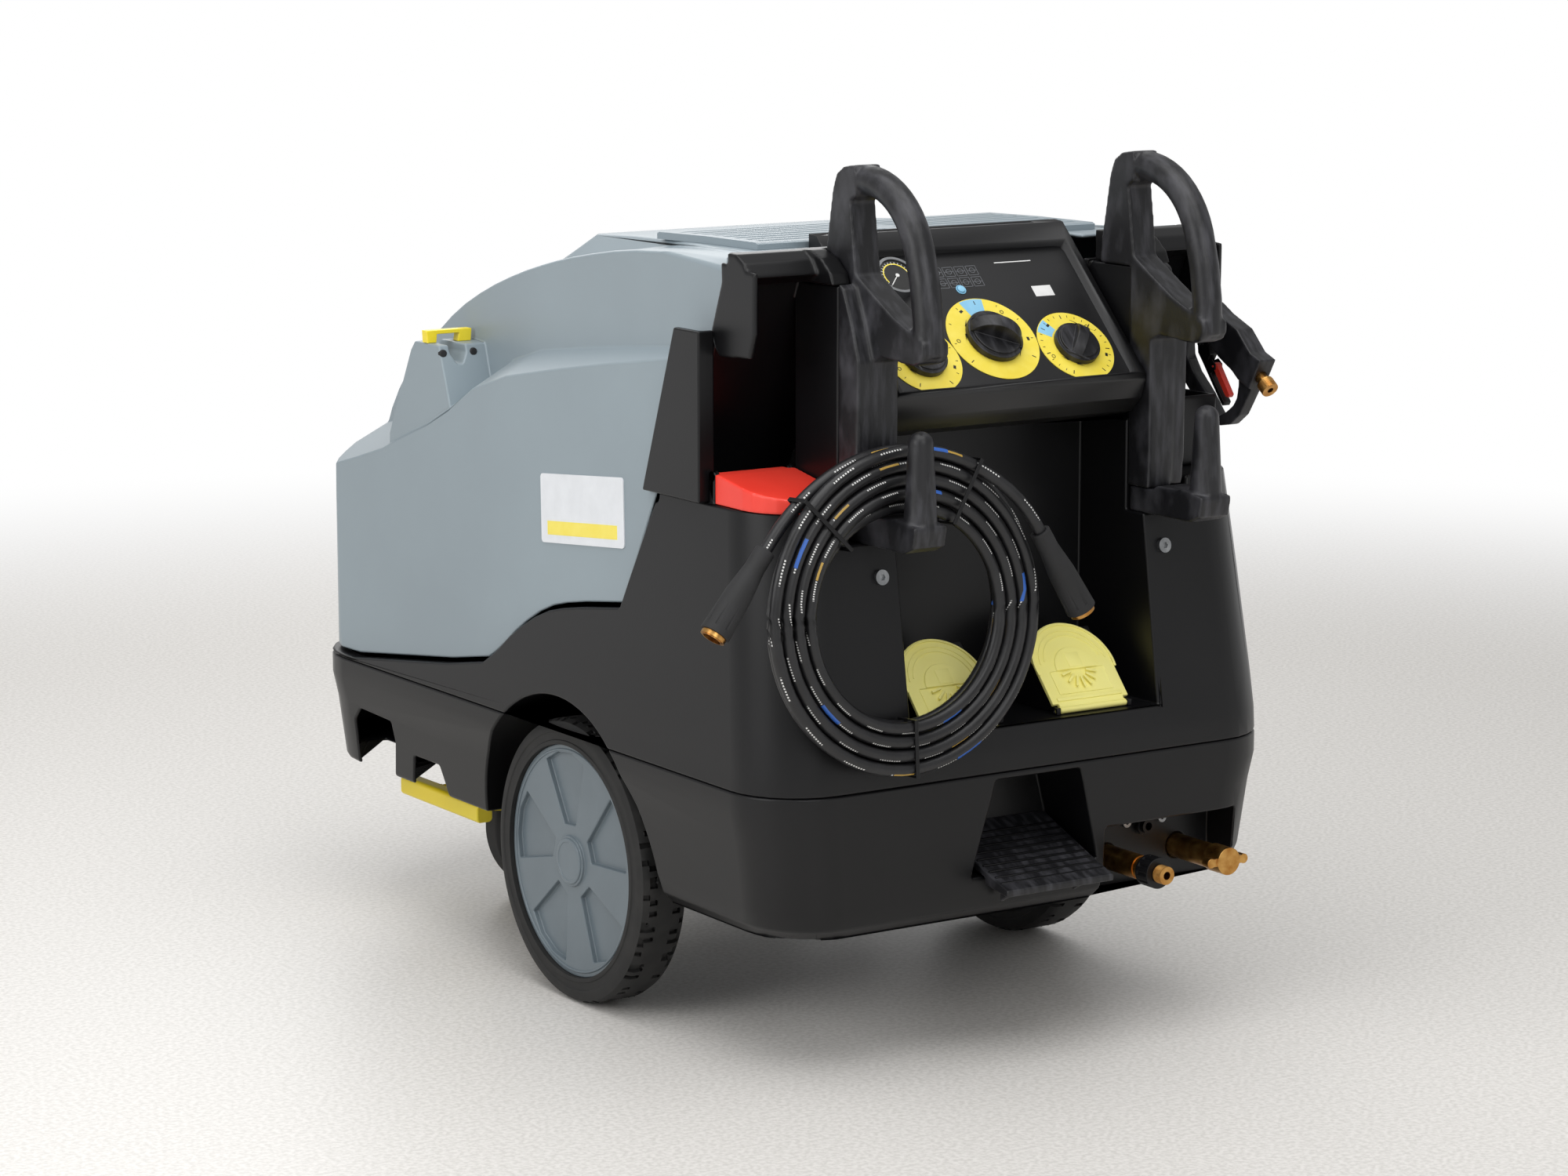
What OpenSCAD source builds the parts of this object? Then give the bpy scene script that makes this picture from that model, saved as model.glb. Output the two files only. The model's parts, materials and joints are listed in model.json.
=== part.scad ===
// Hot-water pressure washer on two wheels and a braked castor.
// X points to the operator's right, Y to the nose, Z up. The floor is at Z = 0.

/* [Overall size] */
// Length from the nose to the back of the push handles
overall_len = 1330; // [1330:5:1600]
// Width over the base moulding
overall_wid = 750; // [750:5:900]
// Height of the seam between the base tray and the main body
seam_z = 345; // [345:1:350]
// Height of the flat top of the main body beside the hooks
deck_z = 668; // [668:1:680]

/* [Walls and clearances] */
// Wall of the base tray and the main body
body_wall = 5; // [4:0.5:6]
// Wall of the hood
hood_wall = 4; // [3:0.5:5]
// Gap between the hood and what is behind it
hood_gap = 4; // [3:0.5:5]
// Gap between flat faces that rest on each other
seat_gap = 0.2; // [0.1:0.1:0.4]
// Radial running clearance of a pin in its bore
run_gap = 0.05; // [0.02:0.01:0.1]

/* [Rear wheels] */
// Radius of the tyres
tyre_r = 178; // [165:1:185]
// Width of the tyres
tyre_w = 66; // [50:1:68]
// Radius of the wheel discs
disc_r = 146; // [130:1:150]
// Distance from the rear end of the handles to the axle
axle_from_rear = 565; // [540:5:640]
// Radius of the axle
axle_r = 10; // [8:1:12]
// Radius of the wheel arches
arch_r = 210; // [200:1:215]

/* [Castor] */
// Radius of the castor wheel
castor_r = 97; // [85:1:97]
// Width of the castor wheel
castor_w = 44; // [36:1:50]
// Trail between the swivel axis and the castor's axle
castor_trail = 85; // [60:1:88]
// Distance from the nose to the swivel axis
castor_from_nose = 255; // [240:5:320]
// Length of the brake pedal's bar
pedal_len = 216; // [160:2:220]
// Distance of the brake pedal's bar from the swivel axis
pedal_reach = 250; // [235:1:255]

/* [Handles and hooks] */
// Distance of each handle from the middle plane
handle_x = 200; // [195:1:204]
// Thickness of the handles
handle_t = 36; // [30:1:36]
// Radius of the round grips
grip_r = 17.5; // [14:0.5:17.5]
// Height of the top of the handles
handle_top = 1060; // [1040:1:1070]
// Radius of a hook's finger at its foot
finger_r = 20; // [16:0.5:22]
// Height of a hook's fingertip
finger_top = 767; // [740:1:780]

/* [Hood] */
// Distance the hood's dome is set in from the machine's side, halfway along
dome_inset = 78.5; // [72:0.5:84]
// Angle in plan between the dome's sides and the middle plane
dome_turn = 4.4; // [3.8:0.1:4.6]
// Slope of the ledge at the foot of the dome
ledge_deg = 28; // [20:1:34]
// Distance of a lance rest's outer face from the machine's side
rest_inset = 28; // [27:0.5:34]
// Width of the notch for a lance
notch_w = 24; // [18:1:30]

/* [Controls] */
// Radius of the middle dial ring
dial_main_r = 61; // [56:1:61]
// Radius of the side dial rings
dial_side_r = 51; // [44:1:51]
// Distance between neighbouring knobs
dial_pitch = 113; // [112:1:114]
// Radius of the middle knob
knob_main_r = 36; // [30:1:40]
// Radius of the side knobs
knob_side_r = 29; // [24:1:33]

/* [Lids] */
// Width of a detergent lid
soap_lid_w = 112; // [90:2:120]
// Length of a detergent lid
soap_lid_len = 118; // [100:2:120]
// Lean of the detergent lids from upright
soap_lid_lean = 42; // [38:1:46]
// Thickness of the detergent lids
soap_lid_t = 5; // [4:0.5:6]
// Width of the fuel lid
fuel_lid_w = 108; // [100:1:108]
// Height of the fuel lid at its hinge
fuel_lid_h = 36; // [30:1:38]

/* [Hose] */
// Outside diameter of the high-pressure hose
hose_d = 15; // [12:0.5:15.5]
// Distance between neighbouring hose loops
hose_pitch = 16; // [15:0.25:16.5]
// Radius of the coil's outermost centre line
coil_r = 190; // [182:1:192]
// Largest radius of a hose connector's sleeve
sleeve_r = 18; // [15:0.5:19]
// Length of a hose connector's sleeve
sleeve_len = 112; // [90:1:120]

/* [Water connections] */
// Radius of the outlet's connecting thread
outlet_r = 11; // [10:0.5:11.5]
// Depth of the neck behind the outlet's thread
neck_step = 1; // [0.5:0.1:2]
// Radius of the inlet's connecting thread
inlet_r = 13.2; // [12:0.1:14]
// Height of both connections
port_z = 205; // [200:1:206]

/* [Inside] */
// Radius of the boiler's jacket
boiler_r = 150; // [130:5:150]
// Height of the boiler's jacket
boiler_h = 430; // [380:5:450]
// Radius of the motor
motor_r = 88; // [75:1:92]
// Length of the motor
motor_len = 230; // [200:5:230]

/* [Hidden] */
$fn = 48;

// Ends of the machine, middle plane to side, and the main places along Y
rear = -overall_len / 2;
nose = overall_len / 2;
half = overall_wid / 2;
back = rear + 72;
axle_y = rear + axle_from_rear;
axle_z = tyre_r;
castor_y = nose - castor_from_nose;
eps = 0.01;
black = [0.13, 0.13, 0.14];
grey = [0.6, 0.65, 0.67];
slate = [0.44, 0.48, 0.51];
yellow = [0.96, 0.87, 0.2];
red = [0.9, 0.2, 0.17];
brass = [0.73, 0.56, 0.31];
steel = [0.7, 0.7, 0.72];

// An outline in (Y, Z) extruded along X, and one in (X, Z) extruded along Y
module along_x(x0, x1) {
  translate([x0, 0, 0]) rotate([90, 0, 90]) linear_extrude(x1 - x0) children();
}
module along_y(y0, y1) {
  translate([0, y1, 0]) rotate([90, 0, 0]) linear_extrude(y1 - y0) children();
}
module rod_x(x0, x1, r) {
  translate([x0, 0, 0]) rotate([0, 90, 0]) cylinder(r = r, h = x1 - x0);
}
module rod_y(y0, y1, r) {
  translate([0, y1, 0]) rotate([90, 0, 0]) cylinder(r = r, h = y1 - y0);
}
module block(x0, x1, y0, y1, z0, z1) {
  translate([x0, y0, z0]) cube([x1 - x0, y1 - y0, z1 - z0]);
}
module both_sides() {
  children();
  mirror([1, 0, 0]) children();
}
module rounded(w, h, r) {
  square([w - 2 * r, h], center = true);
  square([w, h - 2 * r], center = true);
  for (sx = [-1, 1]) for (sy = [-1, 1]) {
    translate([sx * (w / 2 - r), sy * (h / 2 - r)]) circle(r);
  }
}

// Points on an arc, its last point left out unless asked for
function arc(c, r, from, to, steps, last = 1) = [
  for (i = [0:steps - 1 + last])
    let (a = from + (to - from) * i / steps) [c.x + r * cos(a), c.y + r * sin(a)]
];
function shift(p, dy, dz) = [for (q = p) [q.x + dy, q.y + dz]];
// The same line with its corners cut at a quarter of each edge
function softer(p) = concat(
  [p[0]],
  [for (i = [0:len(p) - 2]) each [0.75 * p[i] + 0.25 * p[i + 1], 0.25 * p[i] + 0.75 * p[i + 1]]],
  [p[len(p) - 1]]
);
// Solid through a list of levels, each [height, outline], all outlines with as many points
module loft(levels) {
  n = len(levels[0][1]);
  top = (len(levels) - 1) * n;
  polyhedron(
    points = [for (l = levels) for (p = l[1]) [p.x, p.y, l[0]]],
    faces = concat(
      [[for (i = [0:n - 1]) i]],
      [for (k = [0:n:top - n]) for (i = [0:n - 1]) [k + i, k + n + i, k + n + (i + 1) % n]],
      [for (k = [0:n:top - n]) for (i = [0:n - 1]) [k + i, k + n + (i + 1) % n, k + (i + 1) % n]],
      [[for (i = [n - 1:-1:0]) top + i]]
    )
  );
}

// Plan outline of the mouldings: rounded tail corners and a bowed nose
tail_r = 90;
nose_r = 120;
bow_r = 560;
bow_y = nose - bow_r;
nose_x = half - nose_r;
nose_y = bow_y + sqrt(pow(bow_r - nose_r, 2) - nose_x * nose_x);
nose_turn = atan2(nose_y - bow_y, nose_x);
function plan(inset) = concat(
  arc([nose_x, nose_y], nose_r - inset, 0, nose_turn, 4, 0),
  arc([0, bow_y], bow_r - inset, nose_turn, 180 - nose_turn, 8, 0),
  arc([-nose_x, nose_y], nose_r - inset, 180 - nose_turn, 180, 4),
  arc([-half + tail_r, back + tail_r], tail_r - inset, 180, 270, 7),
  arc([half - tail_r, back + tail_r], tail_r - inset, 270, 360, 7)
);
// That outline, narrower by lean at the sides and shorter by tail at the back
function drawn_in(inset, lean, tail) = let (
  kx = 1 - lean / (half - inset),
  ky = 1 - tail / (nose - back - inset)
) [for (p = plan(inset)) [p.x * kx, nose + (p.y - nose) * ky]];
module plan_block(inset, z0, z1) {
  translate([0, 0, z0]) linear_extrude(z1 - z0) polygon(plan(inset));
}
// Mirrors the right half of an (X, Z) outline, listed from the bottom up
function symmetric(p) = concat(p, [for (i = [len(p) - 1:-1:0]) [-p[i].x, p[i].y]]);

// --- Base tray ---
floor_z = 226;
floor_top = floor_z + body_wall;
skirt_z = 200;
tail_skirt_z = 168;
arch_in = 262;
step_depth = 95;
step_top_z = seam_z - 8;
step_sill_z = 222;
niche_x0 = 104;
niche_x1 = 306;
niche_z1 = 258;
niche_back = back + 62;
port_out_x = 150;
port_in_x = 258;
port_body_r = 15;
gland_x = 204;
gland_z = 238;
gland_r = 9;
pipe_r = 7;
riser_y = back + 103;
boss_bottom = floor_z - 10;
base_side = [
  [nose + 1, skirt_z + 30], [nose - 90, skirt_z], [axle_y + 180, skirt_z],
  [axle_y - 190, tail_skirt_z], [back - 1, tail_skirt_z], [back - 1, seam_z], [nose + 1, seam_z]
];
step_outline = [[-92, step_sill_z], [92, step_sill_z], [62, step_top_z], [-62, step_top_z]];
// The tray's sides lean in towards the floor and round under at their foot
module base_loft(inset) {
  low = tail_skirt_z - 1 - inset;
  loft([
    [low, drawn_in(inset, 42, 32)], [tail_skirt_z + 14, drawn_in(inset, 27, 14)],
    [tail_skirt_z + 37, drawn_in(inset, 20, 6)], [285, drawn_in(inset, 8, 2)],
    [318, drawn_in(inset, 0, 0)], [seam_z + inset, drawn_in(inset, 0, 0)]
  ]);
}
module base_outer() {
  intersection() {
    base_loft(0);
    along_x(-half - 1, half + 1) polygon(base_side);
  }
}
module arch_cut(r, x0) {
  both_sides() translate([0, axle_y, axle_z]) rod_x(x0, half + 20, r);
}
module base_tray() {
  color(black) difference() {
    union() {
      difference() {
        base_outer();
        difference() {
          base_loft(body_wall);
          block(-half, half, back, nose, floor_z, floor_top);
        }
      }
      intersection() {
        base_outer();
        union() {
          arch_cut(arch_r + body_wall, arch_in - body_wall);
          block(-100, 100, back - 2, back + step_depth + body_wall, 212, seam_z);
          block(
            niche_x0 - body_wall, niche_x1 + body_wall, back - 2, niche_back + body_wall,
            100, niche_z1 + body_wall
          );
        }
      }
      // Boss under the floor that the castor's mount is bolted to
      translate([0, castor_y, boss_bottom]) cylinder(r = 62, h = 11);
    }
    arch_cut(arch_r, arch_in);
    translate([0, axle_y, axle_z]) rod_x(-half, half, axle_r + seat_gap);
    along_y(back - 3, back + step_depth) polygon(step_outline);
    block(niche_x0, niche_x1, back - 3, niche_back, 90, niche_z1);
    for (x = [port_out_x, port_in_x]) {
      translate([x, 0, port_z]) rod_y(niche_back - 5, niche_back + 20, port_body_r + run_gap);
      translate([x, riser_y, floor_z - 5]) cylinder(r = pipe_r + 0.5, h = 20);
    }
    translate([gland_x, 0, gland_z]) rod_y(niche_back - 5, niche_back + 20, gland_r + run_gap);
    // Grip pockets in the skirt, ahead of the wheels
    both_sides() along_x(half - 60, half + 20) polygon([
      [nose - 205, skirt_z - 20], [nose - 212, 262], [nose - 232, 280], [nose - 318, 277],
      [nose - 322, 250], [nose - 300, skirt_z - 20]
    ]);
    both_sides() along_x(half - 60, half + 20) polygon([
      [nose - 352, skirt_z - 20], [nose - 372, 240], [nose - 440, 240], [nose - 450, 215],
      [nose - 462, skirt_z - 20]
    ]);
  }
}

// --- Main body: rear block, fenders and rim under the hood ---
arch_hood = [
  [nose - 230, 353], [axle_y + 196, 398], [axle_y + 155, 421], [axle_y + 110, 455],
  [axle_y + 45, 489], [axle_y - 20, 505], [axle_y - 139, 522]
];
hood_back = [[axle_y - 139, 525], [rear + 358, deck_z + 5], [rear + 267, 862], [rear + 240, 925]];
main_rim = concat([[nose + 1, seam_z + 6]], softer(shift(arch_hood, 0, -3)));
face_z0 = seam_z + 30;
face_rise = 44;
face_lean = atan(face_rise / (deck_z - face_z0));
main_side = concat(
  [[nose + 1, seam_z + seat_gap]], main_rim,
  [[rear + 358 - hood_gap, deck_z], [back - 2, deck_z], [back - 2, seam_z + seat_gap]]
);
function main_tail(z) = face_rise * (z - face_z0) / (deck_z - face_z0);
module body_loft(inset) {
  loft([
    [seam_z - 2, drawn_in(inset, 0, 0)], [face_z0, drawn_in(inset, 2, 0)],
    for (l = [[420, 4], [560, 14], [deck_z + 12, 24]]) [l[0], drawn_in(inset, l[1], main_tail(l[0]))]
  ]);
}
recess_x = handle_x - handle_t / 2 - 2;
recess_back_y = rear + 235;
liner_top_z = 738;
shelf_z = 400;
tower_x = 238;
tower_back_y = rear + 145;
tower_top_z = 922;
hook_x = 206;
hook_seat_z = 628;
screw_z = 588;
screw_r = 4;
bulkhead_x = half - 42;
filler_x = -half + 80;
filler_y = back + 105;
filler_r = 34;
fuel_hinge_y = rear + 241;
fuel_hinge_z = deck_z + 32;
fuel_pin_r = 3;
// Frame of a screw on the leaning rear face, its Z axis pointing out of the face
module at_screw() {
  translate([hook_x, back + face_rise * (screw_z - face_z0) / (deck_z - face_z0), screw_z])
    rotate([90 - face_lean, 0, 0]) children();
}
module main_body() {
  color(black) difference() {
    union() {
      difference() {
        intersection() {
          body_loft(0);
          along_x(-half - 1, half + 1) polygon(main_side);
        }
        intersection() {
          body_loft(body_wall);
          along_x(-half, half) polygon(concat(
            [[nose + 2, seam_z - 1]], shift(main_rim, 0, -body_wall),
            [[rear + 352, deck_z - body_wall], [back, deck_z - body_wall], [back, seam_z - 1]]
          ));
        }
        // Opening under the hood, inside the rim it rests over
        intersection() {
          plan_block(22, seam_z, 900);
          along_x(-half, half) polygon([
            [nose, seam_z], [nose, 800], [rear + 352, 800], [rear + 352, deck_z - body_wall - 2],
            [axle_y - 145, 510], [axle_y - 145, seam_z]
          ]);
        }
      }
      // Fender liners over the wheels
      intersection() {
        arch_cut(arch_r + body_wall, arch_in - body_wall);
        body_loft(0);
        block(-half, half, back, nose, seam_z + seat_gap, deck_z);
      }
      // Walls round the rear recess, and the towers that carry the handles
      block(
        -recess_x - body_wall, recess_x + body_wall, tower_back_y, recess_back_y + body_wall,
        shelf_z - body_wall, liner_top_z
      );
      block(
        -recess_x - body_wall, recess_x + body_wall, back + 3, tower_back_y + 1, shelf_z - body_wall, shelf_z
      );
      both_sides() {
        along_x(recess_x, recess_x + body_wall) polygon([
          [back + 5, shelf_z - body_wall], [back + 46, deck_z - body_wall],
          [tower_back_y + 1, deck_z - body_wall], [tower_back_y + 1, shelf_z - body_wall]
        ]);
        block(recess_x + body_wall, tower_x, tower_back_y, recess_back_y, deck_z - 60, tower_top_z);
        block(
          recess_x, tower_x + 6 + body_wall, back + 39, tower_back_y + body_wall,
          hook_seat_z - body_wall, deck_z
        );
      }
      // Bulkhead behind the hood
      difference() {
        along_x(-bulkhead_x, bulkhead_x) polygon(concat(
          shift(hood_back, -hood_gap, 0),
          [[rear + 224, 925], [rear + 254, 862], [rear + 345, deck_z - 1], [axle_y - 160, 525]]
        ));
        block(-half, half, back, nose, 400, deck_z - body_wall);
        block(-recess_x, recess_x, back, nose, deck_z - body_wall - 1, 1000);
      }
      // Hinge lugs of the fuel lid
      for (x = [filler_x - fuel_lid_w / 2, filler_x + fuel_lid_w / 2 - 7]) {
        block(x, x + 7, fuel_hinge_y - 6, fuel_hinge_y + 4, deck_z - 1, fuel_hinge_z);
        translate([0, fuel_hinge_y - 1, fuel_hinge_z]) rod_x(x, x + 7, 5);
      }
    }
    arch_cut(arch_r, arch_in);
    block(-recess_x, recess_x, back - 2, recess_back_y, shelf_z, 760);
    both_sides() {
      block(
        recess_x + 2 * body_wall, tower_x - body_wall, tower_back_y + body_wall, recess_back_y + 1,
        seam_z, tower_top_z - body_wall
      );
      block(recess_x - 1, tower_x + 6, back - 2, tower_back_y, hook_seat_z, deck_z + 1);
      at_screw() translate([0, 0, -40]) cylinder(r = screw_r + run_gap, h = 50);
    }
    translate([filler_x, filler_y, deck_z - 20]) cylinder(r = filler_r + 0.5, h = 40);
    translate([0, fuel_hinge_y - 1, fuel_hinge_z])
      rod_x(filler_x - fuel_lid_w, filler_x + fuel_lid_w, fuel_pin_r + run_gap);
  }
}

// --- Top cowl between the hood and the handles ---
hinge_y = rear + 232;
hinge_z = 952;
pin_r = 3.2;
knuckle_r = 6.4;
knuckle_x0 = 228;
knuckle_x1 = 320;
cowl_x = half - 36;
module top_cowl() {
  color(black) both_sides() difference() {
    union() {
      along_x(recess_x + 8, tower_x + 6) polygon([
        [rear + 222, tower_top_z + seat_gap], [rear + 222, 960], [rear + 196, 960], [rear + 172, 952],
        [rear + 152, 936], [rear + 146, tower_top_z + seat_gap]
      ]);
      along_x(tower_x, cowl_x) polygon([
        [rear + 222, tower_top_z + seat_gap], [rear + 222, 960], [rear + 204, 959], [rear + 188, 950],
        [rear + 176, 934], [rear + 190, 928], [rear + 206, tower_top_z + seat_gap]
      ]);
      // Cheek that hangs down behind the hood's edge
      along_x(bulkhead_x + 0.4, cowl_x) polygon([
        [rear + 236, 948], [rear + 235, 925], [rear + 258, 866], [rear + 250, 848], [rear + 240, 838],
        [rear + 175, 842], [rear + 165, 870], [rear + 164, 940]
      ]);
      for (x = [knuckle_x0 - 8, knuckle_x1 + 1]) {
        block(x, x + 7, rear + 221, hinge_y, hinge_z - 7, hinge_z + 7);
        translate([0, hinge_y, hinge_z]) rod_x(x, x + 7, 7);
      }
      translate([0, hinge_y, hinge_z]) rod_x(knuckle_x0 - 8, knuckle_x1 + 8, pin_r);
    }
    block(handle_x - handle_t / 2 - 3, handle_x + handle_t / 2 + 1, rear + 90, rear + 207, 900, 1000);
  }
}

// --- Lance trough on the left of the deck, gun holder on its right ---
module lance_trough_left() {
  color(black) {
    along_x(-half + 13, -half + 22) polygon([
      [rear + 375, deck_z + seat_gap], [rear + 303, 868], [rear + 248, 868], [rear + 248, deck_z + seat_gap]
    ]);
    along_x(-half + 22 - eps, -half + 35) polygon([
      [rear + 352, deck_z + seat_gap], [rear + 260, 862], [rear + 256, 868], [rear + 248, 868],
      [rear + 248, deck_z + seat_gap]
    ]);
  }
}
gun_x = half - 21;
barrel_z = 848;
barrel_r = 8.5;
prong_y0 = rear + 290;
prong_y1 = rear + 308;
module gun_holder() {
  color(black) {
    difference() {
      block(tower_x + 24, half - 32, rear + 176, rear + 252, deck_z + seat_gap, 754);
      block(tower_x + 30, half - 38, rear + 182, rear + 246, deck_z + 30, 760);
    }
    block(half - 57, half - 32, rear + 246, prong_y1, deck_z + seat_gap, deck_z + 12);
    // Prong the gun's barrel lies on
    along_y(prong_y0, prong_y1) polygon([
      [half - 57, deck_z + seat_gap], [half - 25, deck_z + seat_gap], [gun_x + 8, deck_z + 32],
      [gun_x + 8, barrel_z - barrel_r - seat_gap], [gun_x - 6, barrel_z - barrel_r - seat_gap],
      [gun_x - 6, deck_z + 80], [half - 57, deck_z + 12]
    ]);
  }
}

// --- Hood ---
hood_inset = 9;
hood_lean = 2.4;
hood_top_z = 950;
hood_corner_r = 40;
function hood_half(z) = half - hood_inset - (z - 300) * tan(hood_lean);
function hood_curve(i) = [
  [nose - 25 - i, 352], [nose - 33 - i, 440], [nose - 60 - i, 540 - i / 4], [nose - 100 - i, 625 - i / 3],
  [nose - 135 - i, 680 - i / 2], [nose - 195 - i / 2, 735 - i], [nose - 265 - i / 2, 777 - i],
  [nose - 345 - i / 3, 822 - i], [nose - 435 - i / 3, 857 - i], [nose - 530, 885 - i],
  [nose - 620, 906 - i], [rear + 625, 922 - i], [rear + 500, 940 - i], [rear + 375, 948 - i],
  [rear + 245, hood_top_z + 2 - i]
];
crease = [
  [nose + 9, 560], [nose - 268, 631], [nose - 315, 650], [nose - 429, 690], [nose - 545, 755],
  [rear + 557, 795], [rear + 321, 830], [rear + 200, 845]
];
hood_foot = softer(shift(arch_hood, 0, 3));
function hood_side(i) = concat(
  softer(hood_curve(i)),
  i > 0
    ? [[rear + 100, hood_top_z + 2 - i], [rear + 100, 300], [nose - 25 - i, 300]]
    : concat([for (k = [3:-1:1]) hood_back[k]], [for (k = [len(hood_foot) - 1:-1:0]) hood_foot[k]])
);
module hood_front(i) {
  r = hood_corner_r;
  x = hood_half(hood_top_z - r);
  polygon(symmetric(concat(
    [[hood_half(300) - i, 300]],
    arc([x - r, hood_top_z - r], r - i, 0, 90, 5),
    [[0, hood_top_z + 8 - i]]
  )));
}
// Raised middle of the hood's top, narrowing towards the nose
hump_x = 219;
hump_turn = 10.9;
hump_flank = 35;
plate_front_y = rear + 525;
plate_front_z = 947;
module hump(i) {
  end = i > 0 ? rear + 100 : rear + 246;
  difference() {
    along_x(-half, half) polygon([
      [nose - 480 - i, 868 - i], [nose - 592 - i / 3, 935 - i], [nose - 715, 943 - i],
      [plate_front_y, plate_front_z - i], [rear + 415, hood_top_z - i], [end, hood_top_z + 2 - i],
      [i > 0 ? end : rear + 310, 880], [nose - 480 - i, 855]
    ]);
    both_sides() translate([hump_x - i, 0, 935]) rotate([0, 0, hump_turn]) rotate([0, -hump_flank, 0])
      translate([0, -1500, -500]) cube([600, 3000, 1500]);
  }
}
module hood_block(i) {
  intersection() {
    plan_block(hood_inset + i, 300, 1000);
    along_y(rear + 100, nose + 1) hood_front(i);
    along_x(-half, half) polygon(hood_side(i));
  }
  hump(i);
}
// Everything outside the dome's right side, and everything above the crease less i
dome_x = half - dome_inset;
module beside_dome(i) {
  translate([dome_x - i, 0, 0]) rotate([0, 0, dome_turn]) translate([0, -1000, 300]) cube([300, 2000, 800]);
}
module above_crease(i) {
  rotate([0, ledge_deg, 0]) along_x(-700, 300) polygon(concat(
    [for (p = softer(crease)) [p.x, hood_half(p.y) * sin(ledge_deg) + p.y * cos(ledge_deg) - i]],
    [[rear + 200, 1500], [nose + 9, 1500]]
  ));
}
// Post on the ledge that a lance is laid over, on the right
rest_x = half - rest_inset;
rest_top_z = 786;
notch_x = dome_x + 24;
module lance_rest() {
  difference() {
    intersection() {
      along_x(200, rest_x) polygon([
        [nose - 292, 600], [nose - 292, 658], [nose - 355, 774], [nose - 366, rest_top_z],
        [nose - 431, rest_top_z], [nose - 470, 680], [nose - 470, 600]
      ]);
      beside_dome(hood_wall / 2);
      above_crease(hood_wall);
    }
    along_y(nose - 480, nose - 290) translate([notch_x, rest_top_z - 24]) polygon([
      [-4, 0], [4, 0], [notch_w / 2, 14], [notch_w / 2, 40], [-notch_w / 2, 40], [-notch_w / 2, 14]
    ]);
  }
}
module hood() {
  color(grey) difference() {
    union() {
      difference() {
        hood_block(0);
        hood_block(hood_wall);
        both_sides() intersection() {
          beside_dome(0);
          above_crease(0);
        }
      }
      // Wall of the dome, and the ledge at its foot
      intersection() {
        hood_block(0);
        both_sides() difference() {
          intersection() {
            beside_dome(hood_wall);
            above_crease(hood_wall);
          }
          intersection() {
            beside_dome(0);
            above_crease(0);
          }
        }
      }
      both_sides() {
        lance_rest();
        translate([0, hinge_y, hinge_z]) rod_x(knuckle_x0, knuckle_x1, knuckle_r);
        block(knuckle_x0, knuckle_x1, hinge_y, hinge_y + 22, hood_top_z - 6, hood_top_z + 2);
      }
    }
    block(-recess_x - 8, recess_x + 8, rear, rear + 297, 500, 1000);
    block(-knuckle_x0 + 1, knuckle_x0 - 1, rear, rear + 247, 900, 1000);
    both_sides() translate([0, hinge_y, hinge_z]) rod_x(knuckle_x0 - 1, knuckle_x1 + 1, pin_r + run_gap);
  }
}
module top_plate() {
  color(grey) difference() {
    along_x(-247, 247) polygon([
      [rear + 300, hood_top_z + 1.4 + seat_gap], [rear + 415, hood_top_z + seat_gap],
      [plate_front_y, plate_front_z + seat_gap], [plate_front_y, 954], [rear + 520, 956],
      [rear + 415, 959], [rear + 305, 960], [rear + 300, 958]
    ]);
    for (y = [rear + 318:24:rear + 500]) {
      both_sides() block(14, 232, y, y + 12, 956, 970);
    }
  }
}
label_y = rear + 529;
label_z = 622.5;
module label_plate() {
  color(steel) translate([-hood_half(label_z), label_y, label_z]) rotate([0, hood_lean, 0])
    rotate([-5.5, 0, 0]) along_x(-1.6, -0.1) rounded(197, 85, 5);
}
module lance_clips() {
  x0 = notch_x - 37;
  x1 = rest_x;
  z = rest_top_z + seat_gap;
  color(yellow) both_sides() along_y(nose - 402, nose - 388) polygon([
    [x0, z], [x0 + 19, z], [x0 + 17, z + 11], [x1 - 14, z + 11], [x1 - 13, z], [x1, z],
    [x1 + 1, z + 16], [x0 - 1, z + 16]
  ]);
}

// --- Control housing; its panel is drawn in a frame tilted 45 degrees ---
housing_x = recess_x;
panel_y = rear + 172;
panel_z = 844;
panel_x = housing_x - 10;
panel_t = 3;
dial_drop = 20.5;
dial_x = sqrt(pow(dial_pitch, 2) - pow(dial_drop, 2));
shaft_r = 4;
knob_places = [[-dial_x, -dial_drop], [0, 0], [dial_x, -dial_drop]];
module on_panel() {
  translate([0, panel_y, panel_z]) rotate([45, 0, 0]) children();
}
module control_housing() {
  color(black) difference() {
    along_x(-housing_x, housing_x) polygon([
      [rear + 109, 798], [rear + 109, 790], [rear + 117, 768], [rear + 135, 750], [rear + 165, 741],
      [rear + 175, liner_top_z + seat_gap], [rear + 293, liner_top_z + seat_gap], [rear + 293, 968],
      [rear + 277, 966]
    ]);
    on_panel() translate([-panel_x - 1, -74, -panel_t - seat_gap]) cube([2 * panel_x + 2, 208, 40]);
    // Room for the electrics behind the panel
    along_x(-housing_x + body_wall, housing_x - body_wall) polygon([
      [rear + 141, 768], [rear + 163, 744], [rear + 288, 744], [rear + 288, 948], [rear + 141, 801]
    ]);
    // Groove along the upper edge
    block(-housing_x + 20, housing_x - 40, rear + 281, rear + 289, 962, 980);
    for (k = knob_places) {
      on_panel() translate([k.x, k.y, -20]) cylinder(r = shaft_r + run_gap, h = 30);
    }
  }
}
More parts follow.
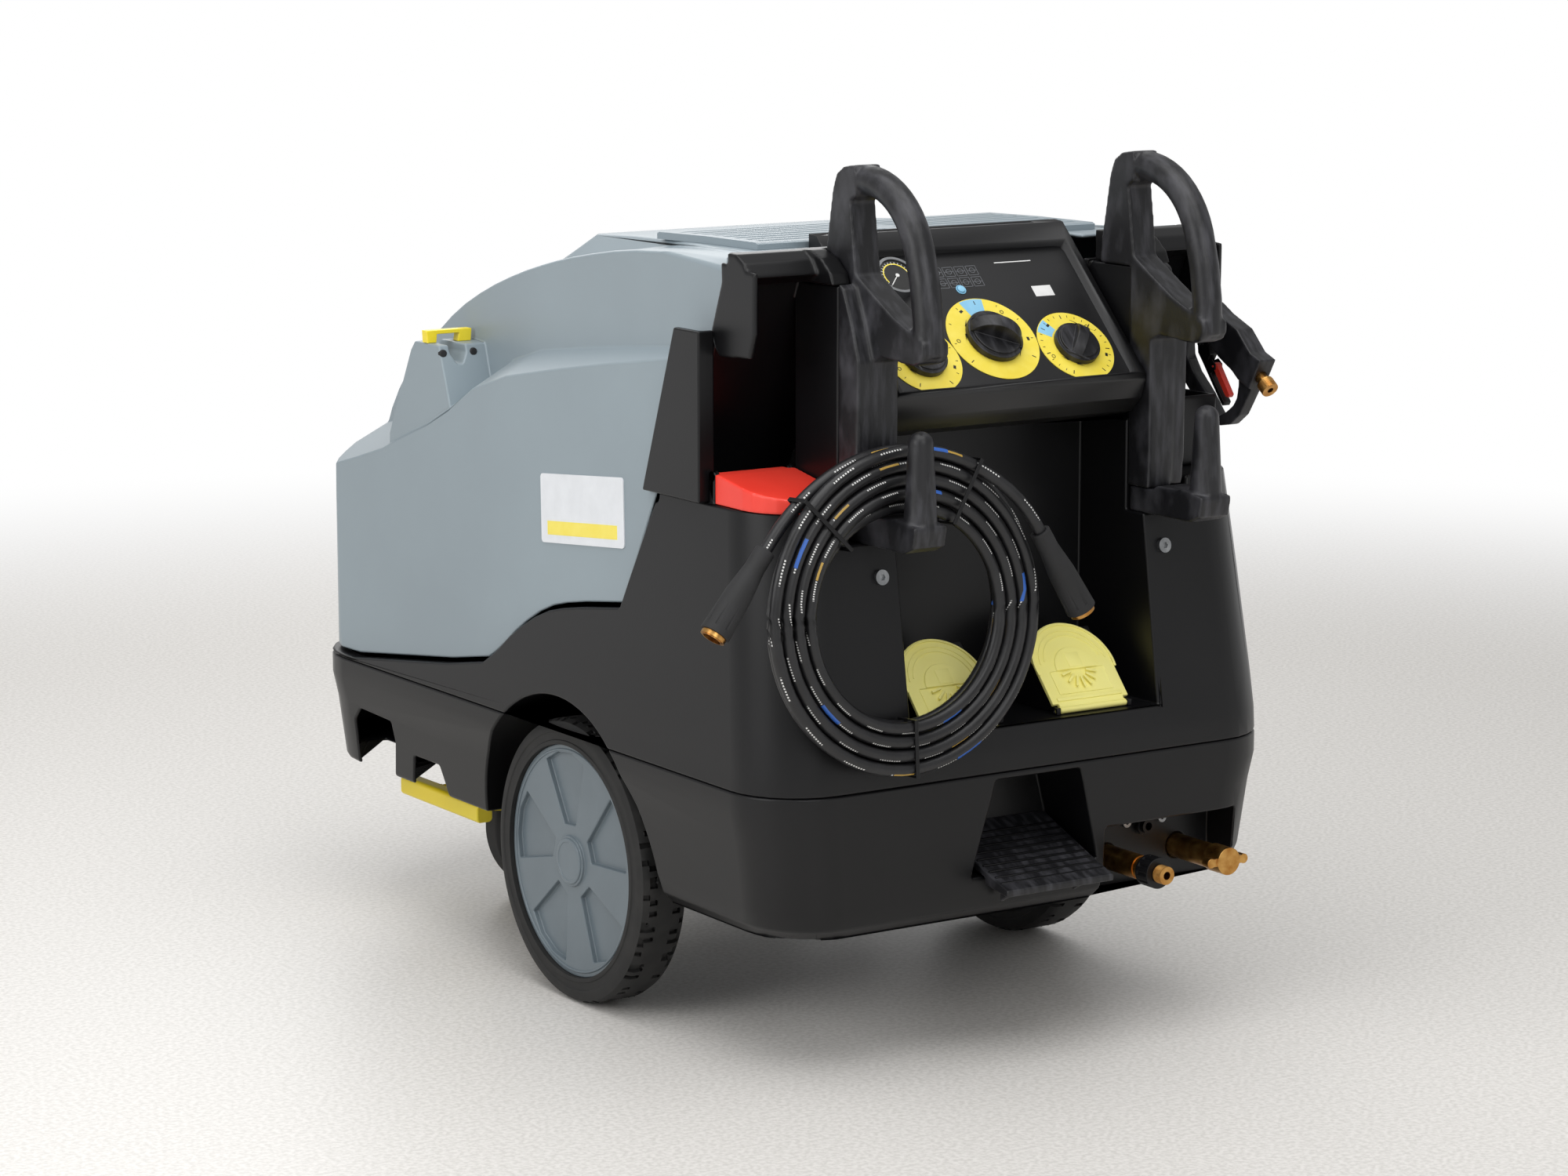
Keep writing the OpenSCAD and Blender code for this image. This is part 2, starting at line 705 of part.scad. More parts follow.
module control_panel() {
  color(black) on_panel() difference() {
    translate([0, 30, -panel_t]) linear_extrude(panel_t) rounded(2 * panel_x, 206, 12);
    for (k = knob_places) {
      translate([k.x, k.y, -20]) cylinder(r = shaft_r + run_gap, h = 30);
    }
  }
}
module dial_ring(place, r) {
  translate([place.x, place.y, 0.1]) difference() {
    cylinder(r = r, h = 0.8);
    translate([0, 0, -1]) cylinder(r = shaft_r + 3, h = 3);
  }
}
module dial_rings() {
  color(yellow) on_panel() {
    dial_ring(knob_places[0], dial_side_r);
    dial_ring(knob_places[1], dial_main_r);
    dial_ring(knob_places[2], dial_side_r);
  }
}
module pressure_gauge() {
  color(steel) on_panel() translate([-95, 96, 0.1]) difference() {
    cylinder(r = 27, h = 12);
    translate([0, 0, 9]) cylinder(r = 23.5, h = 5);
  }
}
module knob(place, r, turn) {
  color(black) on_panel() translate([place.x, place.y, 0]) rotate([0, 0, turn]) {
    translate([0, 0, -7.5]) cylinder(r = shaft_r, h = 10);
    translate([0, 0, 1.2]) cylinder(r = r, h = 8);
    translate([0, 0, 9.1]) cylinder(r = r * 0.86, h = 3);
    intersection() {
      translate([-r, -r * 0.24, 2]) cube([2 * r, r * 0.48, r]);
      translate([0, 0, -3]) rod_y(-r, r, r - eps);
    }
  }
}
module knob_mode() {
  knob(knob_places[1], knob_main_r, -25);
}
module knob_detergent() {
  knob(knob_places[0], knob_side_r, 20);
}
module knob_pressure() {
  knob(knob_places[2], knob_side_r, 55);
}
module electrics_box() {
  color(grey) on_panel() difference() {
    translate([-120, -30, -58]) cube([240, 122, 49]);
    for (k = knob_places) {
      translate([k.x, k.y, -12]) cylinder(r = shaft_r + 4, h = 10);
    }
  }
}

// --- Push handles and hose hooks ---
grip_y = rear + 141;
grip_z = handle_top - grip_r - 110.3;
module grip_arc(y, z, r, from, turn) {
  translate([handle_x, y, z]) rotate([90, 0, 90]) rotate_extrude(angle = turn, start = from)
    translate([r, 0]) circle(r = grip_r);
}
module handle() {
  x0 = handle_x - handle_t / 2;
  x1 = handle_x + handle_t / 2;
  color(black) {
    grip_arc(grip_y, grip_z, 110, 90, 70);
    grip_arc(grip_y + 210 * cos(20), grip_z - 210 * sin(20), 320, 160, 21.5);
    // Leg that stands on the tower
    along_x(x0, x1) polygon([
      [rear + 204, tower_top_z + seat_gap], [rear + 202, 950], [rear + 187, handle_top - 30],
      [rear + 179, handle_top - 12], [rear + 165, handle_top - 3], [grip_y, handle_top],
      [grip_y, handle_top - 36], [rear + 151, handle_top - 42], [rear + 139, 935],
      [rear + 144.7, 922.2 + seat_gap], [rear + 144.7, tower_top_z + seat_gap]
    ]);
    // Arm out to the grip's lower end, and the post down to the hook
    along_x(x0, x1) polygon([
      [rear + 149, 940], [rear + 139, 935], [rear + 105, 915], [rear + 65, 893], [rear + 38, 882],
      [rear + 4, 868], [rear + 3, 856], [rear + 10, 846], [rear + 25, 841], [rear + 88, 845],
      [rear + 103, 838], [rear + 103, 700], [rear + 105, hook_seat_z + 30.2],
      [tower_back_y - 0.3, hook_seat_z + 30.2], [tower_back_y - 0.3, tower_top_z + seat_gap],
      [rear + 149, tower_top_z + seat_gap]
    ]);
    // Web that covers the tower's rear face
    along_x(x1 - eps, tower_x) polygon([
      [tower_back_y - 0.3, 925], [tower_back_y - 0.3, 660], [rear + 109, 660], [rear + 105, 700],
      [rear + 103, 838], [rear + 117, 880], [rear + 135, 920]
    ]);
  }
}
saddle_z = hook_seat_z + 35.5;
finger_y = rear + 24;
module hook() {
  color(black) {
    along_x(hook_x - 23, hook_x + 22) polygon([
      [tower_back_y - 4, hook_seat_z + seat_gap], [rear + 25, hook_seat_z + seat_gap],
      [rear + 7, hook_seat_z + 8], [rear + 3, hook_seat_z + 27], [rear + 4, hook_seat_z + 32],
      [rear + 44, hook_seat_z + 38], [rear + 52, saddle_z], [rear + 90, saddle_z],
      [rear + 98, hook_seat_z + 30], [tower_back_y - 4, hook_seat_z + 30]
    ]);
    translate([hook_x, finger_y, hook_seat_z + 24])
      cylinder(r1 = finger_r, r2 = finger_r - 5.5, h = finger_top - hook_seat_z - 24 - finger_r + 5.5);
    translate([hook_x, finger_y, finger_top - finger_r + 5.5]) sphere(r = finger_r - 5.5);
  }
}
module small_screw(x, z) {
  translate([x, 0, z]) difference() {
    rod_y(niche_back - 5, niche_back - 0.1, 6);
    rod_y(niche_back - 6, niche_back - 3, 2.5);
  }
}
module body_screws() {
  color(steel) {
    both_sides() at_screw() difference() {
      union() {
        translate([0, 0, 0.1]) cylinder(r = 9, h = 5);
        translate([0, 0, -10]) cylinder(r = screw_r, h = 12);
      }
      translate([0, 0, 2]) cylinder(r = 4, h = 5, $fn = 6);
    }
    small_screw(122, 234);
    small_screw(178, 244);
    small_screw(232, 244);
  }
}

// --- Fuel lid and tank ---
module fuel_lid() {
  x0 = filler_x - fuel_lid_w / 2;
  x1 = filler_x + fuel_lid_w / 2;
  y0 = back + 40;
  r = 62;
  color(red) difference() {
    union() {
      intersection() {
        translate([0, 0, deck_z]) linear_extrude(60) polygon(concat(
          [[x1, y0], [x1, fuel_hinge_y - 8], [x1 - 8, fuel_hinge_y - 8], [x1 - 8, fuel_hinge_y - 1]],
          [[x0 + 8, fuel_hinge_y - 1], [x0 + 8, fuel_hinge_y - 8], [x0, fuel_hinge_y - 8]],
          arc([x0 + r, y0 + r], r, 180, 270, 6)
        ));
        along_x(-half, 0) polygon([
          [y0 - 1, deck_z + 0.3], [y0 - 1, deck_z + 12], [y0 + 7, deck_z + 17],
          [fuel_hinge_y - 16, deck_z + fuel_lid_h - 1], [fuel_hinge_y - 1, deck_z + fuel_lid_h],
          [fuel_hinge_y - 1, deck_z + 0.3]
        ]);
      }
      translate([0, fuel_hinge_y - 1, fuel_hinge_z]) {
        rod_x(x0 + 8, x1 - 8, 4);
        rod_x(x0 + 0.5, x1 - 0.5, fuel_pin_r);
      }
      // Plug in the filler neck
      translate([filler_x, filler_y, deck_z - 10]) cylinder(r = 20, h = 12);
    }
    block(x0, x1, back, y0 + 2, deck_z, deck_z + 3);
  }
}
module fuel_tank() {
  color(black) difference() {
    union() {
      block(-half + 45, -recess_x - 10, back + 72, rear + 340, floor_top + seat_gap, 595);
      translate([filler_x, filler_y, 590]) cylinder(r = filler_r, h = deck_z - 590.5);
    }
    translate([filler_x, filler_y, 560]) cylinder(r = filler_r - 4, h = 120);
  }
}

// --- Detergent lids, drawn in a frame along their slope ---
lid_hinge_y = back + 21;
lid_hinge_z = shelf_z + 4.6;
lid_pin_r = 2.5;
lid_x = 95;
module on_lid() {
  translate([0, lid_hinge_y, lid_hinge_z]) rotate([90 - soap_lid_lean, 0, 0]) children();
}
module detergent_lid() {
  w = soap_lid_w;
  color(yellow) translate([lid_x, 0, 0]) on_lid() difference() {
    union() {
      intersection() {
        translate([-w / 2, 8, -soap_lid_t / 2]) cube([w, soap_lid_len - 8, soap_lid_t]);
        union() {
          translate([0, soap_lid_len - 60, -10]) cylinder(r = 60, h = 20);
          translate([-w, 8, -10]) cube([2 * w, soap_lid_len - 68, 20]);
        }
      }
      rod_x(-w / 2 + 7, w / 2 - 7, 4);
      rod_x(-w / 2 + 1, w / 2 - 1, lid_pin_r);
      translate([-w / 2 + 8, 0, -soap_lid_t / 2]) cube([w - 16, 9, soap_lid_t]);
      // Raised thumb grip
      translate([0, soap_lid_len - 66, soap_lid_t / 2 - 1]) cylinder(r = 30, h = 3);
    }
    translate([-40, 20, soap_lid_t / 2 - 1]) cube([80, 32, 10]);
  }
}
module filler_necks() {
  low = 12;
  color(black) difference() {
    union() {
      both_sides() {
        intersection() {
          translate([lid_x, 0, 0]) on_lid()
            translate([-50, low, -200 - soap_lid_t / 2 - 0.3]) cube([100, 100, 200]);
          block(0, 170, back + 21, back + 123, shelf_z + seat_gap, 600);
        }
        for (x = [lid_x - soap_lid_w / 2, lid_x + soap_lid_w / 2 - 6]) {
          block(x, x + 6, lid_hinge_y - 4, lid_hinge_y + 4, shelf_z + seat_gap, lid_hinge_z + 4);
        }
      }
    }
    both_sides() {
      translate([lid_x, 0, 0]) on_lid() translate([0, 52, -30]) cylinder(r = 26, h = 40);
      translate([0, lid_hinge_y, lid_hinge_z])
        rod_x(lid_x - soap_lid_w / 2 - 1, lid_x + soap_lid_w / 2 + 1, lid_pin_r + run_gap);
    }
  }
}
module detergent_tank() {
  color(grey) {
    block(-170, 125, back + 107, back + 157, 240, shelf_z - body_wall - seat_gap);
    block(-170, 125, back + 18, back + 157, seam_z + 5, shelf_z - body_wall - seat_gap);
  }
}
module water_tank() {
  color(grey) block(recess_x + 10, half - 35, back + 88, rear + 340, floor_top + seat_gap, 600);
}

// --- Step in the rear recess of the base ---
module step_tread() {
  color(black) {
    along_x(-78, 78) polygon([
      [back + step_depth - seat_gap, 266], [back + step_depth - seat_gap, 250],
      [back - 0.4, step_sill_z + seat_gap], [back - 1, 214], [rear + 25, 207], [rear + 25, 215],
      [rear + 65, 228]
    ]);
    both_sides() along_x(50, 56) polygon([
      [back - 1.5, 216], [back - 1.5, 190], [rear + 45, 205], [rear + 45, 214]
    ]);
  }
}

// --- Rear wheels ---
wheel_out = half - 18;
wheel_in = wheel_out - tyre_w;
hub_in = arch_in + 2;
axle_end = wheel_out - 14;
module at_axle() {
  translate([0, axle_y, axle_z]) children();
}
module axle() {
  color(steel) at_axle() {
    rod_x(-axle_end, axle_end, axle_r);
    both_sides() rod_x(axle_end - 2, axle_end + 2, axle_r + 6);
  }
}
module tyre() {
  color(black) at_axle() rotate([0, 90, 0]) rotate_extrude() polygon([
    [disc_r, wheel_in], [tyre_r - 12, wheel_in], [tyre_r - 3, wheel_in + 7], [tyre_r, wheel_in + 16],
    [tyre_r, wheel_out - 16], [tyre_r - 3, wheel_out - 7], [tyre_r - 12, wheel_out], [disc_r, wheel_out]
  ]);
}
module wheel_disc() {
  rim = disc_r - 0.1;
  color(slate) at_axle() difference() {
    union() {
      rod_x(wheel_in + 12, wheel_out - 6, rim);
      rod_x(hub_in, wheel_out - 2, 32);
    }
    rod_x(hub_in - 1, axle_end - 2 - seat_gap, axle_r + run_gap);
    rod_x(axle_end - 2 - seat_gap, axle_end + 2 + seat_gap, axle_r + 6.5);
    // Hollow inner side and five sunk fields between the spokes
    difference() {
      rod_x(wheel_in + 11, wheel_in + 40, rim - 8);
      rod_x(wheel_in + 10, wheel_in + 41, 32);
    }
    for (a = [18:72:306]) {
      rotate([a, 0, 0]) along_x(wheel_out - 13, wheel_out) polygon([
        [44, -18], [118, -62], [132, -34], [136, 0], [126, 30], [46, 9]
      ]);
    }
  }
}

// --- Castor with its brake pedal ---
mount_bottom = boss_bottom - 8;
crown_top = mount_bottom - 0.3;
crown_bottom = crown_top - 12.7;
castor_x = -castor_trail;
leg_in = castor_w / 2 + 2;
leg_out = leg_in + 5;
brake_x = -92;
brake_z = 165;
module at_castor() {
  translate([0, castor_y, 0]) children();
}
module castor_mount() {
  color(steel) at_castor() {
    translate([0, 0, mount_bottom]) cylinder(r = 58, h = 8 - seat_gap);
    translate([0, 0, crown_bottom - 3]) cylinder(r = 10, h = 18);
    translate([0, 0, crown_bottom - 11]) cylinder(r = 14, h = 10.8);
  }
}
module castor_fork() {
  color(steel) at_castor() difference() {
    union() {
      block(-62, 28, -leg_out, leg_out, crown_bottom, crown_top);
      for (y = [-leg_out, leg_in]) {
        along_y(y, y + 5) polygon([
          [25, crown_top], [-98, crown_top], [-110, 182], [castor_x - 19, castor_r],
          [castor_x + 19, castor_r], [-40, 165], [25, crown_bottom]
        ]);
        translate([castor_x, 0, castor_r]) rod_y(y, y + 5, 19);
      }
    }
    translate([0, 0, crown_bottom - 1]) cylinder(r = 10 + run_gap, h = 20);
    translate([castor_x, 0, castor_r]) rod_y(-leg_out - 1, leg_out + 1, 6 + run_gap);
    translate([brake_x, 0, brake_z]) rod_y(-leg_out - 1, leg_out + 1, 5 + run_gap);
  }
}
module castor_axle() {
  color(steel) at_castor() translate([castor_x, 0, castor_r]) {
    rod_y(-leg_out - 5, leg_out + 5, 6);
    rod_y(-leg_out - 5, -leg_out - seat_gap, 10);
    rod_y(leg_out + seat_gap, leg_out + 5, 10);
  }
}
module castor_wheel() {
  w = castor_w / 2;
  color(black) at_castor() translate([castor_x, 0, castor_r]) rotate([90, 0, 0]) difference() {
    rotate_extrude() polygon([
      [0, -w], [castor_r - 24, -w], [castor_r - 8, -w], [castor_r, -w + 8], [castor_r, w - 8],
      [castor_r - 8, w], [castor_r - 24, w], [0, w]
    ]);
    cylinder(r = 6 + run_gap, h = castor_w + 2, center = true);
    for (s = [-1, 1]) translate([0, 0, s * w]) difference() {
      cylinder(r = castor_r - 24, h = 12, center = true);
      cylinder(r = 20, h = 13, center = true);
    }
  }
}
module brake_pedal() {
  color(yellow) at_castor() {
    along_y(-pedal_len / 2, pedal_len / 2) translate([-pedal_reach, 147]) rounded(24, 26, 6);
    for (s = [-1, 1]) {
      along_y(s > 0 ? leg_out + 1 : -leg_out - 7, s > 0 ? leg_out + 7 : -leg_out - 1) {
        polygon([
          [brake_x, brake_z + 10], [brake_x + 9, brake_z], [brake_x, brake_z - 10], [-185, 128],
          [-pedal_reach + 6, 136], [-pedal_reach, 150], [-pedal_reach + 6, 158], [-180, 160]
        ]);
      }
      translate([brake_x, 0, brake_z])
        rod_y(s > 0 ? leg_in + 0.3 : -leg_out - 7, s > 0 ? leg_out + 7 : -leg_in - 0.3, 5);
    }
    block(-196, -188, -leg_out - 7, leg_out + 7, 130, 150);
  }
}

// --- Inside ---
motor_x = -150;
motor_y = 60;
motor_z = floor_top + 15 + motor_r;
pump_y = motor_y + motor_len;
boiler_x = 95;
boiler_y = 40;
boiler_top = floor_top + seat_gap + boiler_h;
module motor() {
  color(slate) {
    translate([motor_x, 0, motor_z]) rod_y(motor_y, pump_y, motor_r);
    for (y = [motor_y + 30, pump_y - 50]) {
      block(motor_x - 70, motor_x + 70, y, y + 20, floor_top + seat_gap, motor_z - 40);
    }
  }
}
module pump() {
  color(brass) {
    block(motor_x - 60, motor_x + 60, pump_y + seat_gap, pump_y + 90, motor_z - 60, motor_z + 60);
    for (x = [-36, 0, 36]) {
      translate([motor_x + x, 0, motor_z]) rod_y(pump_y + 80, pump_y + 130, 15);
    }
  }
}
module boiler() {
  color(steel) translate([boiler_x, boiler_y, floor_top + seat_gap]) cylinder(r = boiler_r, h = boiler_h);
}
module burner() {
  color(slate) translate([boiler_x, boiler_y - 20, boiler_top + seat_gap]) {
    cylinder(r = 70, h = 40);
    cylinder(r = 52, h = 90);
  }
}
module bend(p) {
  translate(p) sphere(r = pipe_r);
}
module pressure_pipes() {
  y1 = pump_y + 45;
  z1 = motor_z + 60 + 50;
  z2 = 300;
  dx = port_out_x - boiler_x;
  color(steel) {
    // Pump to boiler
    translate([motor_x, y1, motor_z + 60 + seat_gap]) cylinder(r = pipe_r, h = 50 - seat_gap);
    bend([motor_x, y1, z1]);
    translate([0, y1, z1]) rod_x(motor_x, boiler_x, pipe_r);
    bend([boiler_x, y1, z1]);
    translate([boiler_x, 0, z1]) rod_y(boiler_y + boiler_r + seat_gap, y1, pipe_r);
    // Boiler to outlet
    translate([port_out_x, 0, z2])
      rod_y(riser_y, boiler_y - sqrt(boiler_r * boiler_r - dx * dx) - 3.5, pipe_r);
    bend([port_out_x, riser_y, z2]);
    translate([port_out_x, riser_y, port_z]) cylinder(r = pipe_r, h = z2 - port_z);
    bend([port_out_x, riser_y, port_z]);
    translate([port_out_x, 0, port_z]) rod_y(riser_y - 18 + seat_gap, riser_y, pipe_r);
    // Inlet to water tank
    translate([port_in_x, 0, port_z]) rod_y(riser_y - 18 + seat_gap, riser_y, pipe_r);
    bend([port_in_x, riser_y, port_z]);
    translate([port_in_x, riser_y, port_z]) cylinder(r = pipe_r, h = floor_top - port_z);
  }
}

// --- Water connections in the rear niche ---
shoulder_y = rear + 53;
module outlet_fitting() {
  color(brass) translate([port_out_x, 0, port_z]) difference() {
    union() {
      rod_y(rear + 65, riser_y - 18, port_body_r);
      rod_y(shoulder_y, rear + 66, 14);
      rod_y(rear + 15, rear + 29, outlet_r);
      rod_y(rear + 28, shoulder_y + 1, outlet_r - neck_step);
    }
    rod_y(rear + 14, rear + 55, 5);
  }
}
module outlet_ring() {
  color(black) translate([port_out_x, 0, port_z]) difference() {
    rod_y(rear + 30, shoulder_y - seat_gap, 19);
    rod_y(rear + 28, shoulder_y, outlet_r - neck_step + run_gap);
    for (a = [0:30:330]) {
      rotate([0, a, 0]) translate([20, 0, 0]) rod_y(rear + 32, shoulder_y - 4, 2.5);
    }
  }
}
module inlet_fitting() {
  color(brass) translate([port_in_x, 0, port_z]) difference() {
    union() {
      rod_y(rear + 61, riser_y - 18, port_body_r);
      rod_y(rear + 37, rear + 62, inlet_r);
    }
    rod_y(rear + 36, rear + 90, 7);
  }
}
module inlet_cap() {
  color(brass) translate([port_in_x, 0, port_z]) difference() {
    union() {
      rod_y(rear + 31, rear + 61 - seat_gap, 17);
      block(-27, 27, rear + 33, rear + 45, -5, 5);
      for (s = [-1, 1]) translate([s * 25, 0, 0]) rod_y(rear + 33, rear + 45, 6);
    }
    rod_y(rear + 37 - seat_gap, rear + 62, inlet_r + run_gap);
  }
}
module cable_gland() {
  color(black) translate([gland_x, 0, gland_z]) difference() {
    union() {
      rod_y(niche_back - 14, niche_back + 12, gland_r);
      rod_y(niche_back - 8, niche_back - 0.1, 12);
    }
    rod_y(niche_back - 15, niche_back + 13, 5);
  }
}

// --- Trigger gun ---
trigger_at = [rear + 212, 812];
latch_at = [rear + 191, 786];
grip_half = 13;
slot_half = 6.5;
module at_gun() {
  translate([gun_x, 0, 0]) children();
}
module gun_body() {
  color(black) at_gun() difference() {
    union() {
      // Grip and valve housing
      along_x(-grip_half, grip_half) polygon([
        [rear + 92, 803], [rear + 112, 811], [rear + 138, 837], [rear + 174, 852], [rear + 195, 864],
        [rear + 240, 868], [rear + 263, 866], [rear + 263, 826], [rear + 242, 822], [rear + 199, 819],
        [rear + 172, 799], [rear + 146, 785], [rear + 135, 776], [rear + 113, 766]
      ]);
      // Guard and front arm
      along_x(-8, 8) polygon([
        [rear + 113, 766], [rear + 135, 732], [rear + 154, 718], [rear + 176, 714], [rear + 213, 732],
        [rear + 247, 764], [rear + 278, 794], [rear + 283, 832], [rear + 283, 858], [rear + 255, 864],
        [rear + 242, 830], [rear + 241, 796], [rear + 227, 776], [rear + 200, 752], [rear + 177, 726],
        [rear + 162, 733], [rear + 149, 742], [rear + 142, 752], [rear + 139, 769], [rear + 140, 785],
        [rear + 125, 785]
      ]);
      translate([0, 0, barrel_z]) rod_y(rear + 275, rear + 320, barrel_r);
    }
    // Slot and bore for the trigger, and the sockets at both ends
    along_x(-slot_half, slot_half) polygon([
      [rear + 241, 790], [rear + 241, 826], [rear + 196, 826], [rear + 176, 806], [rear + 186, 790]
    ]);
    translate([0, trigger_at.x, trigger_at.y]) rod_x(-20, 20, 2.5 + run_gap);
    translate([0, rear + 107, 783]) rotate([38, 0, 0]) rod_y(-60, 6, 7 + run_gap);
    translate([0, 0, barrel_z]) rod_y(rear + 300, rear + 330, 5);
  }
}
module gun_trigger() {
  color(black) at_gun() difference() {
    union() {
      along_x(-6, 6) polygon([
        [rear + 222, 816], [rear + 211, 822], [rear + 202, 816], [rear + 196, 800], [rear + 204, 788],
        [rear + 168, 744], [rear + 171, 739], [rear + 178, 747], [rear + 210, 788], [rear + 220, 800]
      ]);
      // Cheeks that hold the latch
      for (x = [-6, 4.4]) {
        along_x(x, x + 1.6) polygon([
          [rear + 206, 790], [rear + 194, 795], [rear + 186, 789], [rear + 186, 783], [rear + 195, 777]
        ]);
      }
      translate([0, trigger_at.x, trigger_at.y]) rod_x(-12, 12, 2.5);
    }
    translate([0, latch_at.x, latch_at.y]) rod_x(-7, 7, 1.6 + run_gap);
    along_x(-4.4, 4.4) polygon([
      [rear + 197, 789], [rear + 191, 796], [rear + 180, 792], [rear + 180, 780], [rear + 192, 778]
    ]);
  }
}
module gun_latch() {
  color(red) at_gun() {
    along_x(-4, 4) polygon([
      [rear + 194, 787], [rear + 190, 791], [rear + 186, 789], [rear + 160, 754], [rear + 163, 750],
      [rear + 168, 751], [rear + 190, 780]
    ]);
    translate([0, latch_at.x, latch_at.y]) rod_x(-6, 6, 1.6);
  }
}
module gun_inlet() {
  color(brass) at_gun() translate([0, rear + 107, 783]) rotate([38, 0, 0]) difference() {
    union() {
      rod_y(-12, 5.8, 7);
      rod_y(-26, -12, 10.5);
    }
    rod_y(-27, 3, 4);
  }
}

// --- Hose coil: two layers that spiral in, change over and spiral out ---
coil_loops = 8;
coil_from = 150;
coil_to = 30;
coil_turn = coil_loops * 360 + coil_from - coil_to;
coil_tilt = 3.1;
end_turn = 40;
grow = 10;
swing = 21;
lead = 15;
socket = 12;
inner_r = coil_r - hose_pitch * coil_turn / 720;
rest_r = inner_r - hose_d / 2;
coil_at = [
  -hook_x + 6, rear + 62, saddle_z + 0.8 - sqrt(rest_r * rest_r - 25 * 25) * cos(coil_tilt)
];
function smooth(t) = let (u = min(1, max(0, t))) u * u * (3 - 2 * u);
function coil_radius(s) = coil_r - hose_pitch * min(s, coil_turn - s) / 360
  + grow * pow(max(0, 1 - s / end_turn), 2);
function coil_depth(s) = hose_pitch / 2 * (1 - 2 * smooth((s - coil_turn / 2 + 90) / 180))
  - swing * smooth(1 - (coil_turn - s) / end_turn);
function coil_point(s) = let (a = coil_from - s, r = coil_radius(s))
  [r * cos(a), coil_depth(s), r * sin(a)];
function unit(v) = v / norm(v);
start_dir = unit(coil_point(0) - coil_point(0.1));
end_dir = unit(coil_point(coil_turn) - coil_point(coil_turn - 0.1));
coil_rings = coil_turn / 15;
coil_path = concat(
  [coil_point(0) + start_dir * (lead + socket), coil_point(0) + start_dir * lead],
  [for (i = [0:coil_rings]) coil_point(i * 15)],
  [coil_point(coil_turn) + end_dir * lead, coil_point(coil_turn) + end_dir * (lead + socket)]
);
coil_fine = [for (s = [0:6:coil_turn]) coil_point(s)];
coil_gap = min([
  for (i = [0:len(coil_fine) - 1]) for (j = [i + 30:1:len(coil_fine) - 1]) norm(coil_fine[i] - coil_fine[j])
]) - hose_d;
echo(str("least gap between hose loops: ", coil_gap));
function ring_at(i) = let (
  n = len(coil_path),
  t = unit(coil_path[min(i + 1, n - 1)] - coil_path[max(i - 1, 0)]),
  u = unit(cross(t, [0, 1, 0])),
  v = cross(u, t)
) [for (k = [0:5]) coil_path[i] + hose_d / 2 * (u * cos(60 * k) + v * sin(60 * k))];
module on_coil() {
  translate(coil_at) rotate([-coil_tilt, 0, 0]) children();
}
module hose_coil() {
  n = len(coil_path);
  color(black) on_coil() polyhedron(
    points = [for (i = [0:n - 1]) for (p = ring_at(i)) p],
    faces = concat(
      [for (i = [0:n - 2]) for (k = [0:5]) [6 * i + k, 6 * i + (k + 1) % 6, 6 * i + 6 + k]],
      [for (i = [0:n - 2]) for (k = [0:5]) [6 * i + (k + 1) % 6, 6 * i + 6 + (k + 1) % 6, 6 * i + 6 + k]],
      [for (k = [1:4]) [0, k + 1, k]],
      [for (k = [1:4]) [6 * n - 6, 6 * n - 6 + k, 6 * n - 6 + k + 1]]
    )
  );
}
// Frame at a hose end, its Z axis pointing out of the hose
module at_end(p, d) {
  on_coil() translate(p + d * lead) rotate([0, atan2(d.x, d.z), 0]) children();
}
module connector(p, d) {
  color(black) at_end(p, d) difference() {
    union() {
      cylinder(r = 12, h = 24);
      translate([0, 0, 24 - eps]) cylinder(r1 = 12, r2 = sleeve_r - 2, h = 34);
      translate([0, 0, 58 - eps]) cylinder(r1 = sleeve_r - 2, r2 = sleeve_r, h = sleeve_len - 58);
    }
    translate([0, 0, -1]) cylinder(r = hose_d / 2 + 0.3, h = socket + 1.3);
    translate([0, 0, sleeve_len - 20]) cylinder(r = 12.5 + run_gap, h = 30);
    for (a = [0:45:315]) {
      rotate([0, 0, a]) translate([sleeve_r + 0.6, 0, 62]) cylinder(r = 2, h = 42);
    }
  }
}
module connector_left() {
  connector(coil_point(0), start_dir);
}
module connector_right() {
  connector(coil_point(coil_turn), end_dir);
}
module connector_tips() {
  color(brass) for (e = [[coil_point(0), start_dir], [coil_point(coil_turn), end_dir]]) {
    at_end(e[0], e[1]) difference() {
      union() {
        translate([0, 0, sleeve_len - 20 + seat_gap]) cylinder(r = 12.5, h = 26);
        translate([0, 0, sleeve_len + seat_gap]) cylinder(r = 15, h = 5);
      }
      translate([0, 0, sleeve_len - 8]) cylinder(r = outlet_r + run_gap, h = 30);
    }
  }
}
// A tie round every strand at one place of the coil
module tie(a, r0, r1, y0, y1) {
  on_coil() rotate([0, -a, 0]) translate([0, 0, -2.5]) linear_extrude(5) difference() {
    translate([r0 - 1.6, y0 - 1.6]) square([r1 - r0 + 3.2, y1 - y0 + 3.2]);
    translate([r0, y0]) square([r1 - r0, y1 - y0]);
  }
}
module hose_ties() {
  d = hose_d / 2 + 0.6;
  w = hose_pitch / 2 + d;
  mid = coil_turn / 2;
  last = coil_turn - 30;
  color(black) {
    tie(135, coil_radius(mid - 45) - d, coil_radius(15) + d, -w, w);
    tie(60, coil_radius(mid + 30) - d, coil_radius(last) + d, coil_depth(last) - d, w);
    tie(270, coil_radius(mid - 180) - d, coil_radius(240) + d, -w, w);
  }
}

